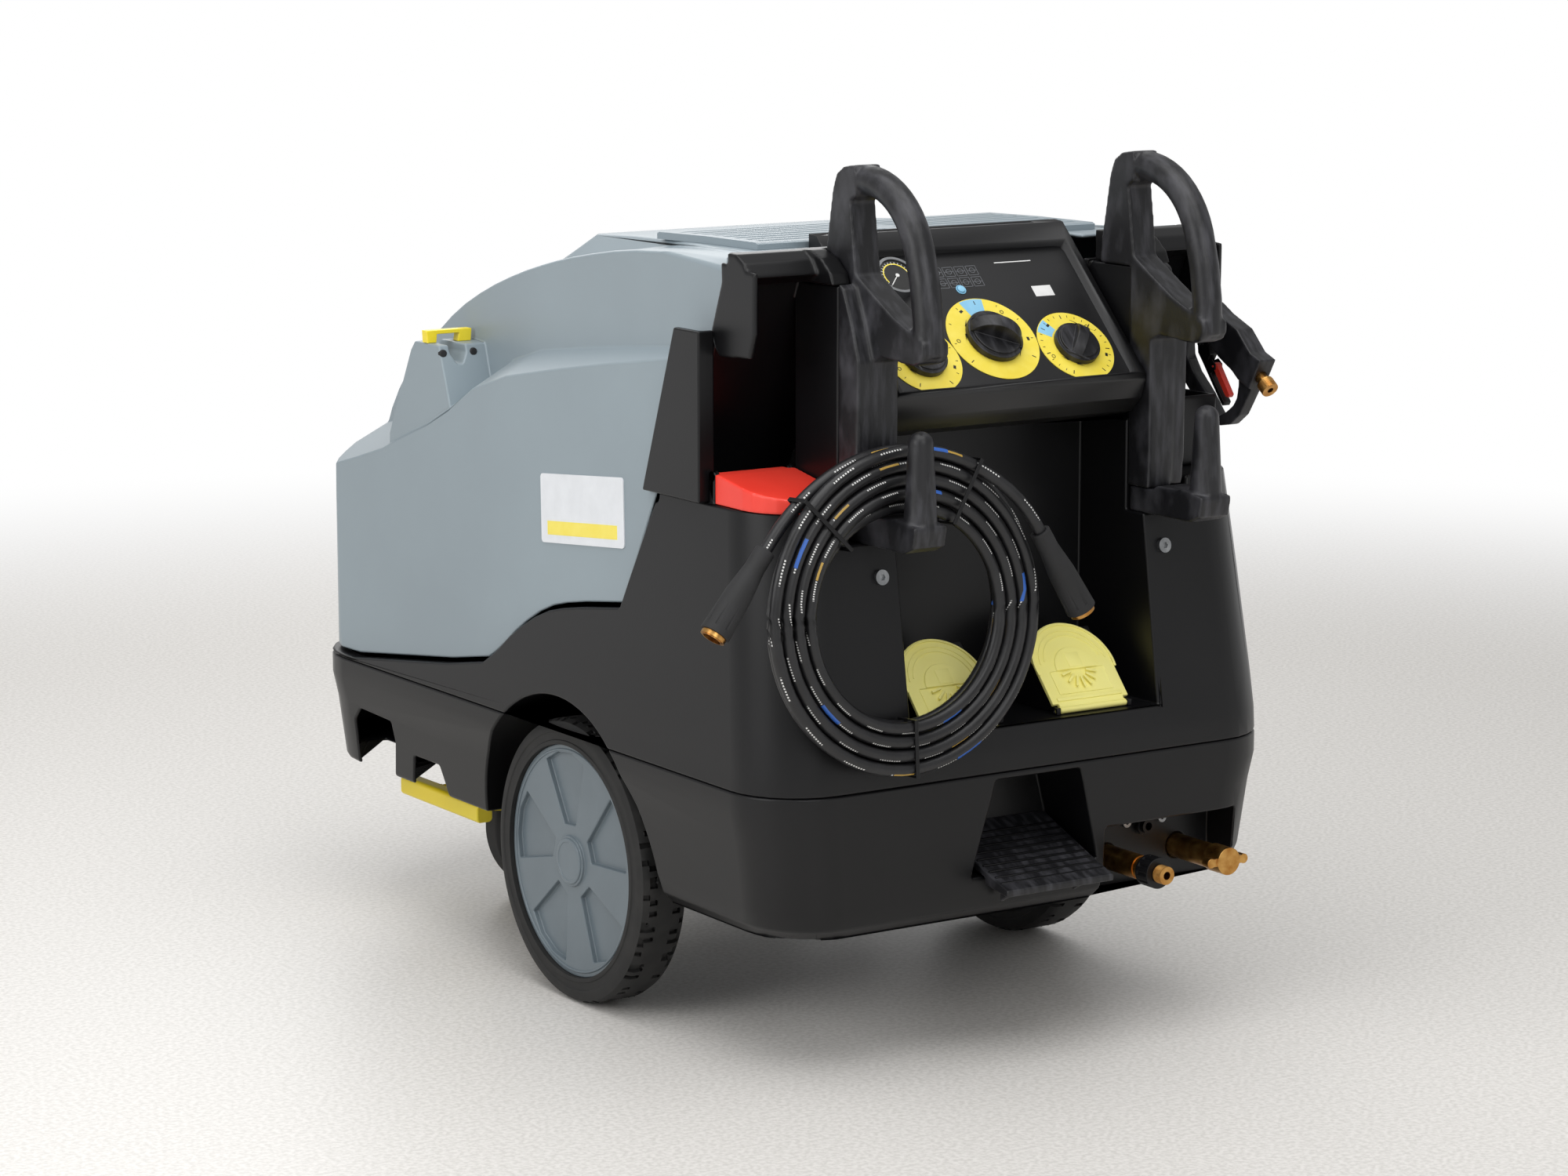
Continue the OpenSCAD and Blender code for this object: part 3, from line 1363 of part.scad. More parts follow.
base_tray();
main_body();
top_cowl();
lance_trough_left();
gun_holder();
hood();
top_plate();
label_plate();
lance_clips();
control_housing();
control_panel();
dial_rings();
pressure_gauge();
knob_mode();
knob_detergent();
knob_pressure();
mirror([1, 0, 0]) handle();  // handle_left
handle();  // handle_right
mirror([1, 0, 0]) hook();  // hook_left
hook();  // hook_right
body_screws();
fuel_lid();
fuel_tank();
mirror([1, 0, 0]) detergent_lid();  // detergent_lid_left
detergent_lid();  // detergent_lid_right
filler_necks();
detergent_tank();
step_tread();
water_tank();
axle();
mirror([1, 0, 0]) tyre();  // tyre_left
mirror([1, 0, 0]) wheel_disc();  // wheel_disc_left
tyre();  // tyre_right
wheel_disc();  // wheel_disc_right
castor_mount();
castor_fork();
castor_axle();
castor_wheel();
brake_pedal();
motor();
pump();
boiler();
burner();
electrics_box();
pressure_pipes();
outlet_fitting();
outlet_ring();
inlet_fitting();
inlet_cap();
cable_gland();
gun_body();
gun_trigger();
gun_latch();
gun_inlet();
hose_coil();
connector_left();
connector_right();
connector_tips();
hose_ties();
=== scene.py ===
import bpy
import json
import math
from mathutils import Matrix, Vector


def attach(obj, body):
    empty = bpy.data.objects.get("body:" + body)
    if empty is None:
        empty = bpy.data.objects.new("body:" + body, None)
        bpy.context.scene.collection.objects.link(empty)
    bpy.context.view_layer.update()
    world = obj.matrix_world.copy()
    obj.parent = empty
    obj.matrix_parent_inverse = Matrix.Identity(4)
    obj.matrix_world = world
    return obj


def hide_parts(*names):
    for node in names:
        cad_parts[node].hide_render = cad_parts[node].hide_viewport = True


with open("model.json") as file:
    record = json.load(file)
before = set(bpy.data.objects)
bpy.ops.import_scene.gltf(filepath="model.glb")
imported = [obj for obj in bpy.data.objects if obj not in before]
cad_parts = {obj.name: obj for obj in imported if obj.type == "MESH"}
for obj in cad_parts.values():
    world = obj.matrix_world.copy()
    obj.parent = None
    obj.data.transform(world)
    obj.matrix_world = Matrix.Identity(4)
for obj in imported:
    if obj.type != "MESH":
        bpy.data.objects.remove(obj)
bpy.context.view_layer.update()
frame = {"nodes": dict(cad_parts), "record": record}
cadNodes = frame["nodes"]
print("frame loaded,", len(cadNodes), "parts")

mm = 0.001
rearEnd = -0.665   # back of the push handles
noseEnd = 0.665
halfWidth = 0.375
backFace = rearEnd + 0.072   # rear face of the tray and body
axlePlace = (rearEnd + 0.565, 0.178)   # Y and Z of the rear axle


# Camera and studio
cameraSpec = {"place": (-2.926, -4.523, 1.428), "turn": 33.15, "down": 10.06, "lens": 97.3, "sensor": 36}


def addCamera(spec):
    tilt = math.radians(90 - spec["down"])
    bpy.ops.object.camera_add(location=spec["place"], rotation=(tilt, 0, -math.radians(spec["turn"])))
    camera = bpy.context.object
    camera.data.lens = spec["lens"]
    camera.data.sensor_width = spec["sensor"]
    camera.data.sensor_fit = "HORIZONTAL"
    bpy.context.scene.camera = camera


def toLinear(hexText):
    values = []
    for i in (1, 3, 5):
        v = int(hexText[i:i + 2], 16) / 255
        values.append(v / 12.92 if v <= 0.04045 else ((v + 0.055) / 1.055) ** 2.4)
    return (*values, 1.0)


def addNode(tree, kind, settings=None, links=None):
    node = tree.nodes.new(kind)
    for key, value in (settings or {}).items():
        if isinstance(key, str) and hasattr(node, key):
            setattr(node, key, value)
        else:
            node.inputs[key].default_value = value
    for key, source in (links or {}).items():
        tree.links.new(source, node.inputs[key])
    return node


def paintRamp(ramp, *stops):
    for element, (position, hexText) in zip(ramp.color_ramp.elements, stops):
        element.position = position
        element.color = toLinear(hexText)


def newMaterial(name, shine):
    material = bpy.data.materials.new(name)
    material.use_nodes = True
    shader = material.node_tree.nodes["Principled BSDF"]
    for key, value in shine.items():
        shader.inputs[key].default_value = value
    return material, material.node_tree, shader


addCamera(cameraSpec)

studio = {
    "floorSize": 60, "floor": (0.62, "#ECE9E5"), "speck": (0.36, "#D9D6D1"), "specksPerMetre": 160,
    "fadeFrom": 2.1, "fadeTo": 4.4, "worldLight": 0.46,
}


def floorMaterial(spec):
    # Vinyl sheet floor with fine specks, fading into a white surround
    material, tree, shader = newMaterial("speckledVinylFloor", {"Roughness": 0.42})
    place = addNode(tree, "ShaderNodeTexCoord").outputs["Object"]
    speck = addNode(tree, "ShaderNodeTexNoise", {"Scale": spec["specksPerMetre"], "Detail": 3},
                    {"Vector": place})
    tint = addNode(tree, "ShaderNodeValToRGB", links={"Fac": speck.outputs["Fac"]})
    paintRamp(tint, spec["speck"], spec["floor"])
    tree.links.new(tint.outputs["Color"], shader.inputs["Base Color"])
    far = addNode(tree, "ShaderNodeVectorMath", {"operation": "LENGTH"}, {0: place})
    fade = addNode(tree, "ShaderNodeMapRange", {
        "interpolation_type": "SMOOTHSTEP", "From Min": spec["fadeFrom"], "From Max": spec["fadeTo"],
    }, {"Value": far.outputs["Value"]})
    rays = addNode(tree, "ShaderNodeLightPath").outputs
    seen = addNode(tree, "ShaderNodeMath", {"operation": "MAXIMUM"},
                   {0: rays["Is Camera Ray"], 1: rays["Is Glossy Ray"]})
    amount = addNode(tree, "ShaderNodeMath", {"operation": "MULTIPLY"},
                     {0: fade.outputs["Result"], 1: seen.outputs["Value"]})
    white = addNode(tree, "ShaderNodeEmission", {"Strength": 1.0})
    mix = addNode(tree, "ShaderNodeMixShader", links={
        0: amount.outputs["Value"], 1: shader.outputs["BSDF"], 2: white.outputs["Emission"],
    })
    tree.links.new(mix.outputs["Shader"], tree.nodes["Material Output"].inputs["Surface"])
    return material


def addStudio(spec):
    bpy.context.scene.view_settings.view_transform = "Standard"
    bpy.ops.mesh.primitive_plane_add(size=spec["floorSize"], location=(0, 0, -0.5 * mm))
    floor = bpy.context.object
    floor.name = "studioFloor"
    floor.data.materials.append(floorMaterial(spec))
    # The room lights the machine softly, and the view sees it at full white
    world = bpy.data.worlds.new("whiteRoom")
    bpy.context.scene.world = world
    world.use_nodes = True
    tree = world.node_tree
    light = tree.nodes["Background"]
    light.inputs["Strength"].default_value = spec["worldLight"]
    light.inputs["Color"].default_value = (1, 1, 1, 1)
    rays = addNode(tree, "ShaderNodeLightPath").outputs
    seen = addNode(tree, "ShaderNodeMath", {"operation": "MAXIMUM"},
                   {0: rays["Is Camera Ray"], 1: rays["Is Transmission Ray"]})
    white = addNode(tree, "ShaderNodeBackground", {"Strength": 1.0, "Color": (1, 1, 1, 1)})
    mix = addNode(tree, "ShaderNodeMixShader", links={
        0: seen.outputs["Value"], 1: light.outputs["Background"], 2: white.outputs["Background"],
    })
    tree.links.new(mix.outputs["Shader"], tree.nodes["World Output"].inputs["Surface"])


softBoxes = {
    "overheadBox": {"place": (-0.6, -0.9, 3.4), "aim": (0, -0.1, 0.5), "size": (3.4, 3.0), "watts": 72},
    "leftBox": {"place": (-3.6, -0.6, 1.9), "aim": (0, 0.1, 0.6), "size": (2.2, 2.0), "watts": 42},
    "rearBox": {"place": (-0.9, -4.3, 2.5), "aim": (0.1, -0.3, 0.5), "size": (2.0, 1.6), "watts": 30},
    "noseBox": {"place": (1.2, 3.4, 2.4), "aim": (0, 0.3, 0.5), "size": (2.4, 2.0), "watts": 34},
}


def addSoftBox(name, spec):
    bpy.ops.object.light_add(type="AREA", location=spec["place"])
    lamp = bpy.context.object
    lamp.name = name
    lamp.data.shape = "RECTANGLE"
    lamp.data.size, lamp.data.size_y = spec["size"]
    lamp.data.energy = spec["watts"]
    direction = Vector(spec["aim"]) - Vector(spec["place"])
    lamp.rotation_euler = direction.to_track_quat("-Z", "Y").to_euler()


addStudio(studio)
for name, spec in softBoxes.items():
    addSoftBox(name, spec)
print("studio ready")


# Finishes
def makeFinish(name, shine, tint, sheen=None, grain=None):
    # A skin whose tint drifts slowly, as dust and handling leave it. The sheen follows that drift between
    # two roughnesses, and the grain is a fine relief, given as its width and its depth
    material, tree, shader = newMaterial(name, shine)
    place = addNode(tree, "ShaderNodeTexCoord").outputs["Object"]
    spread = addNode(tree, "ShaderNodeMapping", {"Scale": tint.get("stretch", (1, 1, 1))}, {"Vector": place})
    drift = addNode(tree, "ShaderNodeTexNoise", {"Scale": 1 / tint["size"], "Detail": 5},
                    {"Vector": spread.outputs["Vector"]})
    ramp = addNode(tree, "ShaderNodeValToRGB", links={"Fac": drift.outputs["Fac"]})
    low, high = tint.get("stops", (0.35, 0.68))
    paintRamp(ramp, (low, tint["dark"]), (high, tint["pale"]))
    tree.links.new(ramp.outputs["Color"], shader.inputs["Base Color"])
    if sheen:
        rough = addNode(tree, "ShaderNodeMapRange", {"To Min": sheen[0], "To Max": sheen[1]},
                        {"Value": drift.outputs["Fac"]})
        tree.links.new(rough.outputs["Result"], shader.inputs["Roughness"])
    if grain:
        relief = addNode(tree, "ShaderNodeTexNoise", {"Scale": 1 / grain[0], "Detail": 3}, {"Vector": place})
        bump = addNode(tree, "ShaderNodeBump", {"Strength": 1.0, "Distance": grain[1]},
                       {"Height": relief.outputs["Fac"]})
        tree.links.new(bump.outputs["Normal"], shader.inputs["Normal"])
    return material


def mouldedPolyethylene():
    # Rotomoulded black polyethylene: satin, with a slow wave and a fine leather grain
    shine = {"IOR": 1.51, "Specular IOR Level": 0.32}
    tint = {"size": 350 * mm, "dark": "#09090B", "pale": "#101012"}
    return makeFinish("mouldedBlackPolyethylene", shine, tint, (0.3, 0.42), (2.5 * mm, 0.05 * mm))


def satinAbs(name, dark, pale, sheen=(0.3, 0.42)):
    # Injection-moulded ABS: an even satin skin with a faint orange peel
    tint = {"size": 120 * mm, "dark": dark, "pale": pale}
    return makeFinish(name, {"IOR": 1.53}, tint, sheen, (3 * mm, 0.02 * mm))


def nylonWearAndPaintedHighlight():
    # Glass-filled black nylon, rubbed grey along the grips by gloves. The pale grey of the streaks is also
    # painted highlight: it is raised above the rubbed nylon's own grey to stand in for the gloss the grips
    # catch
    shine = {"IOR": 1.53, "Specular IOR Level": 0.4}
    tint = {
        "size": 9 * mm, "stretch": (1, 0.3, 0.18),
        "dark": "#17171A", "pale": "#45454A", "stops": (0.44, 0.82),
    }
    return makeFinish("blackNylonWearAndPaintedHighlight", shine, tint, (0.34, 0.52), (1.6 * mm, 0.06 * mm))


def hoodPlastic():
    # Blue-grey polyethylene hood: soft satin, nearly even colour
    tint = {"size": 400 * mm, "dark": "#87939A", "pale": "#8F9CA3"}
    return makeFinish("greyHoodPolyethylene", {"IOR": 1.5}, tint, (0.34, 0.44), (2.2 * mm, 0.03 * mm))


def tyreRubber(name="vulcanisedTyreRubber", dark="#141414", pale="#262524"):
    # Vulcanised rubber: matt, dusty in patches
    tint = {"size": 30 * mm, "dark": dark, "pale": pale, "stops": (0.4, 0.75)}
    return makeFinish(name, {"IOR": 1.52}, tint, (0.6, 0.8), (1.5 * mm, 0.12 * mm))


def turnedBrass():
    # Turned brass, handled and a little dulled
    tint = {"size": 12 * mm, "dark": "#B07A3C", "pale": "#D2A45F"}
    return makeFinish("turnedBrass", {"Metallic": 1.0}, tint, (0.22, 0.4), (1.2 * mm, 0.03 * mm))


def zincSteel():
    # Zinc-plated pressed steel: pale, with faint spangle
    tint = {"size": 10 * mm, "dark": "#8E9092", "pale": "#A9ABAD"}
    return makeFinish("zincPlatedSteel", {"Metallic": 1.0}, tint, (0.26, 0.42), (2 * mm, 0.02 * mm))


def gaugeChrome():
    # Bright chrome bezel
    tint = {"size": 20 * mm, "dark": "#B9BBBE", "pale": "#CDCFD2"}
    return makeFinish("brightChrome", {"Metallic": 1.0, "Roughness": 0.12}, tint)


def printedInk(name, dark, pale):
    # Screen-printed ink on a plastic face: thin and even
    return makeFinish(name, {"Roughness": 0.42}, {"size": 20 * mm, "dark": dark, "pale": pale})


def motorEnamel():
    # Stoved grey enamel over cast housings
    tint = {"size": 50 * mm, "dark": "#4E5358", "pale": "#5D6268"}
    return makeFinish("stovedGreyEnamel", {"IOR": 1.5}, tint, (0.3, 0.45), (4 * mm, 0.1 * mm))


finishes = {
    "black_plastic": mouldedPolyethylene(),
    "handle": nylonWearAndPaintedHighlight(),
    "panel_plastic": satinAbs("panelAbs", "#0D0D0F", "#141416", (0.34, 0.42)),
    "hood_plastic": hoodPlastic(),
    "disc_plastic": satinAbs("slateWheelAbs", "#626D74", "#6C777E"),
    "yellow_plastic": satinAbs("yellowAbs", "#F2D822", "#F8E33A"),
    "lid_plastic": satinAbs("paleYellowPolypropylene", "#FDF389", "#FFF89C"),
    "red_plastic": satinAbs("signalRedPolypropylene", "#EE3B2D", "#F84738"),
    "dial_print": printedInk("yellowDialInk", "#F3DC45", "#F8E45E"),
    "tank_plastic": satinAbs("naturalPolyethylene", "#C6C5BF", "#D2D1CB"),
    "tyre_rubber": tyreRubber(),
    "soft_rubber": tyreRubber("mouldedRubberSleeve", "#171718", "#232325"),
    "steel": zincSteel(),
    "chrome": gaugeChrome(),
    "label": printedInk("silverLabelFilm", "#DDE0E4", "#E3E6EA"),
    "brass": turnedBrass(),
    "motor_paint": motorEnamel(),
    "blue_ink": printedInk("lightBlueInk", "#86C3E4", "#93CCEA"),
    "grey_ink": printedInk("greyInk", "#5C5E62", "#66686C"),
    "white_ink": printedInk("whiteInk", "#DDDDDC", "#E8E8E7"),
    "black_ink": printedInk("blackInk", "#1A1A1A", "#222222"),
    "stripe_ink": printedInk("yellowStripeInk", "#F3E05A", "#F6E56A"),
}
print("finishes ready")


# Hose
hoseSpec = {
    # Angles are in degrees. Over endTurn at its two ends the hose leaves the coil, outwards by grow and
    # rearwards by swing
    "thick": 15 * mm, "pitch": 16 * mm, "outer": 190 * mm, "startAngle": 150, "turned": 3000, "endTurn": 40,
    "grow": 10 * mm, "swing": 21 * mm, "lead": 15 * mm, "socket": 12 * mm, "tilt": 3.1, "restHalf": 25 * mm,
    "saddle": 663.5 * mm, "lift": 0.8 * mm, "x": -200 * mm, "y": rearEnd + 62 * mm,
}


def smoothStep(t):
    u = min(1, max(0, t))
    return u * u * (3 - 2 * u)


def hosePoint(spec, s):
    turned = spec["turned"]
    radius = spec["outer"] - spec["pitch"] * min(s, turned - s) / 360
    radius += spec["grow"] * max(0, 1 - s / spec["endTurn"]) ** 2
    depth = spec["pitch"] / 2 * (1 - 2 * smoothStep((s - turned / 2 + 90) / 180))
    depth -= spec["swing"] * smoothStep(1 - (turned - s) / spec["endTurn"])
    a = math.radians(spec["startAngle"] - s)
    return Vector((radius * math.cos(a), depth, radius * math.sin(a)))


def hoseRoute(spec):
    first, last = hosePoint(spec, 0), hosePoint(spec, spec["turned"])
    startWay = (first - hosePoint(spec, 0.1)).normalized()
    endWay = (last - hosePoint(spec, spec["turned"] - 0.1)).normalized()
    points = [first + startWay * (spec["lead"] + spec["socket"] * k) for k in (1, 0)]
    points += [hosePoint(spec, s) for s in range(0, spec["turned"] + 1, 5)]
    points += [last + endWay * (spec["lead"] + spec["socket"] * k) for k in (0, 1)]
    rest = spec["outer"] - spec["pitch"] * spec["turned"] / 720 - spec["thick"] / 2
    tilt = math.radians(spec["tilt"])
    hang = math.sqrt(rest ** 2 - spec["restHalf"] ** 2) * math.cos(tilt)
    place = Matrix.Translation((spec["x"], spec["y"], spec["saddle"] + spec["lift"] - hang))
    place = place @ Matrix.Rotation(-tilt, 4, "X")
    return [place @ p for p in points]


hosePrint = {
    "lines": (0.80, 0.32),   # where the two lines of print run, as shares of the way round the hose
    "letter": (3.1 * mm, 0.56), "word": (57 * mm, 0.46), "height": 0.022, "ink": "#D9D9D7",
    "marks": [
        {"every": 530 * mm, "share": 0.045, "shift": 0.7, "height": 0.03, "ink": "#B5923E"},
        {"every": 590 * mm, "share": 0.055, "shift": 0.3, "height": 0.05, "ink": "#2F62B8"},
    ],
}


def printedHose(spec, long):
    # Smooth rubber cover with dashes of white print and a few coloured marks; UV x runs along the hose
    tint = {"size": 30 * mm, "dark": "#131315", "pale": "#1E1E20"}
    material = makeFinish("printedRubberHose", {"IOR": 1.5}, tint, (0.32, 0.46), (2 * mm, 0.04 * mm))
    tree = material.node_tree
    unrolled = addNode(tree, "ShaderNodeTexCoord").outputs["UV"]
    axes = addNode(tree, "ShaderNodeSeparateXYZ", links={0: unrolled})
    along = addNode(tree, "ShaderNodeMath", {"operation": "MULTIPLY", 1: long}, {0: axes.outputs["X"]})

    def dashes(every, share, shift=0.0):
        # 1 on a share of every stretch along the hose, and 0 between
        step = addNode(tree, "ShaderNodeMath", {"operation": "MULTIPLY_ADD", 1: 1 / every, 2: shift},
                       {0: along.outputs["Value"]})
        part = addNode(tree, "ShaderNodeMath", {"operation": "FRACT"}, {0: step.outputs["Value"]})
        dash = addNode(tree, "ShaderNodeMath", {"operation": "LESS_THAN", 1: share},
                       {0: part.outputs["Value"]})
        return dash.outputs["Value"]

    def printLines(height):
        # 1 within a height of either line of print
        near = []
        for middle in spec["lines"]:
            line = addNode(tree, "ShaderNodeMath", {"operation": "COMPARE", 1: middle, 2: height},
                           {0: axes.outputs["Y"]})
            near.append(line.outputs["Value"])
        either = addNode(tree, "ShaderNodeMath", {"operation": "MAXIMUM"}, {0: near[0], 1: near[1]})
        return either.outputs["Value"]

    text = addNode(tree, "ShaderNodeMath", {"operation": "MULTIPLY"},
                   {0: dashes(*spec["letter"]), 1: dashes(*spec["word"])})
    layers = [(text.outputs["Value"], spec["height"], spec["ink"])]
    for mark in spec["marks"]:
        layers.append((dashes(mark["every"], mark["share"], mark["shift"]), mark["height"], mark["ink"]))
    cover = tree.nodes["Principled BSDF"].inputs["Base Color"]
    colour = cover.links[0].from_socket
    for dash, height, ink in layers:
        mask = addNode(tree, "ShaderNodeMath", {"operation": "MULTIPLY"}, {0: dash, 1: printLines(height)})
        mix = addNode(tree, "ShaderNodeMix", {"data_type": "RGBA", 7: toLinear(ink)},
                      {0: mask.outputs["Value"], 6: colour})
        colour = mix.outputs[2]
    tree.links.new(colour, cover)
    return material


def clearSelection():
    if bpy.context.object and bpy.context.object.mode != "OBJECT":
        bpy.ops.object.mode_set(mode="OBJECT")
    bpy.ops.object.select_all(action="DESELECT")


def makeActive(piece):
    clearSelection()
    piece.select_set(True)
    bpy.context.view_layer.objects.active = piece


def fixPlace(piece):
    makeActive(piece)
    bpy.ops.object.transform_apply(location=True, rotation=True, scale=True)


def applyModifier(piece, kind, **settings):
    makeActive(piece)
    modifier = piece.modifiers.new(kind.title(), kind)
    for key, value in settings.items():
        setattr(modifier, key, value)
    bpy.ops.object.modifier_apply(modifier=modifier.name)


def smoothShade(piece, angle=35):
    makeActive(piece)
    bpy.ops.object.shade_smooth_by_angle(angle=math.radians(angle))


def joinAll(pieces, name):
    clearSelection()
    for piece in pieces:
        piece.select_set(True)
    bpy.context.view_layer.objects.active = pieces[0]
    if len(pieces) > 1:
        bpy.ops.object.join()
    pieces[0].name = name
    return pieces[0]


def settle(piece, name, body, slot, finish=None, stands=()):
    # Last step for a piece: its name, finish, material slot and the body it moves with
    piece.name = name
    piece.data.name = name
    piece.data.materials.clear()
    piece.data.materials.append(finishes[finish or slot])
    if stands:
        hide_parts(*stands)
    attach(piece, body)
    return piece


def makeHose(spec):
    route = hoseRoute(spec)
    curve = bpy.data.curves.new("pressureHose", "CURVE")
    curve.dimensions = "3D"
    curve.bevel_depth = spec["thick"] / 2
    curve.bevel_resolution = 4
    curve.use_fill_caps = True
    curve.twist_mode = "Z_UP"
    line = curve.splines.new("POLY")
    line.points.add(len(route) - 1)
    for point, target in zip(line.points, route):
        point.co = (*target, 1)
    hose = bpy.data.objects.new("pressureHose", curve)
    bpy.context.scene.collection.objects.link(hose)
    makeActive(hose)
    bpy.ops.object.convert(target="MESH")
    hose = bpy.context.object
    bpy.ops.object.shade_smooth()
    long = sum((b - a).length for a, b in zip(route, route[1:]))
    finishes["hose"] = printedHose(hosePrint, long)
    settle(hose, "pressureHose", "machine", "hose_rubber", "hose", ["hose_coil"])
    print("hose", round(long, 2), "m long")


makeHose(hoseSpec)


def clearChoice(piece, kind):
    # Nothing chosen, in the FACE or EDGE mode that the next choice is made in
    makeActive(piece)
    bpy.ops.object.mode_set(mode="EDIT")
    bpy.ops.mesh.select_all(action="DESELECT")
    bpy.ops.mesh.select_mode(type=kind)
    bpy.ops.object.mode_set(mode="OBJECT")


def chooseFaces(piece, test):
    # Selects the faces that test(face) accepts, and leaves edit mode on
    clearChoice(piece, "FACE")
    for face in piece.data.polygons:
        face.select = test(face)
    bpy.ops.object.mode_set(mode="EDIT")


def chooseEdges(piece, test):
    # Selects the edges whose two ends test(a, b) accepts, and leaves edit mode on
    clearChoice(piece, "EDGE")
    points = piece.data.vertices
    for edge in piece.data.edges:
        edge.select = test(points[edge.vertices[0]].co, points[edge.vertices[1]].co)
    bpy.ops.object.mode_set(mode="EDIT")


# Parts that keep their construction shape
def copyPart(node, name, joinFlat=True):
    # A clean copy of a construction part: doubles merged and, unless they hold openings, flat faces joined
    twin = bpy.data.objects.new(name, cadNodes[node].data.copy())
    bpy.context.scene.collection.objects.link(twin)
    makeActive(twin)
    bpy.ops.object.mode_set(mode="EDIT")
    bpy.ops.mesh.select_all(action="SELECT")
    bpy.ops.mesh.remove_doubles(threshold=0.02 * mm)
    if joinFlat:
        bpy.ops.mesh.dissolve_limited(angle_limit=math.radians(0.5))
    bpy.ops.object.mode_set(mode="OBJECT")
    return twin


def roundEdges(piece, width, segments=3, angle=28):
    applyModifier(piece, "BEVEL", width=width, segments=segments, limit_method="ANGLE",
                  angle_limit=math.radians(angle), use_clamp_overlap=False, miter_outer="MITER_ARC")


def meltEdges(piece, voxel, rounds, keep=1.0):
    # Remeshed and smoothed, so that arms run into each other with soft fillets as in a moulding
    applyModifier(piece, "REMESH", mode="VOXEL", voxel_size=voxel)
    applyModifier(piece, "SMOOTH", factor=0.5, iterations=rounds)
    if keep < 1:
        applyModifier(piece, "DECIMATE", ratio=keep)
    makeActive(piece)
    bpy.ops.object.shade_smooth()


softened = {
    # node: piece name, body, slot, finish, voxel, smoothing rounds, share of faces kept
    "handle_left": ("pushHandleLeft", "machine", "black_plastic", "handle", 2.2 * mm, 9, 0.6),
    "handle_right": ("pushHandleRight", "machine", "black_plastic", "handle", 2.2 * mm, 9, 0.6),
    "hook_left": ("hoseHookLeft", "machine", "black_plastic", "handle", 1.6 * mm, 7, 0.7),
    "hook_right": ("hoseHookRight", "machine", "black_plastic", "handle", 1.6 * mm, 7, 0.7),
    "fuel_lid": ("fuelLid", "fuel_lid", "red_plastic", None, 1.6 * mm, 6, 0.8),
    "gun_body": ("gunBody", "gun", "black_plastic", "handle", 1.3 * mm, 12, 0.7),
    "gun_holder": ("gunHolder", "machine", "black_plastic", None, 2 * mm, 3, 0.5),
    "top_cowl": ("topCowl", "machine", "black_plastic", None, 2 * mm, 6, 0.5),
}
for node, (name, body, slot, finish, voxel, rounds, keep) in softened.items():
    piece = copyPart(node, name)
    meltEdges(piece, voxel, rounds, keep)
    settle(piece, name, body, slot, finish, [node])
print("softened pieces ready")

bevelled = {
    # node: piece name, body, slot, finish, edge radius
    "hood": ("hoodShell", "hood", "hood_plastic", None, 2.5 * mm),
    "main_body": ("mainBody", "machine", "black_plastic", None, 3 * mm),
    "base_tray": ("baseTray", "machine", "black_plastic", None, 3 * mm),
    "control_housing": ("controlHousing", "machine", "black_plastic", "panel_plastic", 0),
    "lance_trough_left": ("lanceTrough", "machine", "black_plastic", None, 2.5 * mm),
    "top_plate": ("hoodTopPlate", "hood", "hood_plastic", None, 0),
    "lance_clips": ("lanceClips", "hood", "yellow_plastic", None, 0.8 * mm),
    "brake_pedal": ("brakePedal", "brake", "yellow_plastic", None, 2.5 * mm),
    "castor_wheel": ("castorWheel", "castor_wheel", "soft_rubber", None, 2 * mm),
    "castor_fork": ("castorFork", "castor", "steel", None, 1 * mm),
    "wheel_disc_left": ("wheelDiscLeft", "wheel_left", "disc_plastic", None, 1.5 * mm),
    "wheel_disc_right": ("wheelDiscRight", "wheel_right", "disc_plastic", None, 1.5 * mm),
    "step_tread": ("stepTread", "machine", "black_plastic", "handle", 2 * mm),
    "knob_mode": ("modeKnob", "knob_mode", "black_plastic", "handle", 1 * mm),
    "knob_detergent": ("detergentKnob", "knob_detergent", "black_plastic", "handle", 1 * mm),
    "knob_pressure": ("pressureKnob", "knob_pressure", "black_plastic", "handle", 1 * mm),
    "detergent_lid_left": ("detergentLidLeft", "detergent_lid_left", "lid_plastic", None, 1 * mm),
    "detergent_lid_right": ("detergentLidRight", "detergent_lid_right", "lid_plastic", None, 1 * mm),
    "gun_trigger": ("gunTrigger", "trigger", "black_plastic", None, 0.8 * mm),
    "gun_latch": ("gunLatch", "latch", "red_plastic", None, 0.8 * mm),
    "outlet_ring": ("outletRing", "outlet_ring", "black_plastic", None, 0.5 * mm),
    "connector_left": ("hoseConnectorLeft", "machine", "soft_rubber", None, 0.6 * mm),
    "connector_right": ("hoseConnectorRight", "machine", "soft_rubber", None, 0.6 * mm),
    "hose_ties": ("hoseTies", "machine", "black_plastic", None, 0.5 * mm),
    "filler_necks": ("fillerNecks", "machine", "black_plastic", None, 1 * mm),
    "inlet_cap": ("inletCap", "inlet_cap", "brass", None, 0.6 * mm),
}
domeEdge = {
    "side": 296.5 * mm, "taper": math.tan(math.radians(4.4)),
    "low": 715 * mm, "front": 450 * mm, "rise": 0.24, "width": 20 * mm,
}


def onDomeEdge(a, b):
    # Upper long edges of the hood's dome
    for p in (a, b):
        onSide = abs(abs(p.x) - domeEdge["side"] + p.y * domeEdge["taper"]) < 0.5 * mm
        if not onSide or p.z < domeEdge["low"] + (domeEdge["front"] - p.y) * domeEdge["rise"]:
            return False
    return abs(a.y - b.y) > 2 * mm


def softenEdges(piece, test, width, segments=5):
    chooseEdges(piece, test)
    bpy.ops.mesh.bevel(offset=width, segments=segments, clamp_overlap=True)
    bpy.ops.object.mode_set(mode="OBJECT")


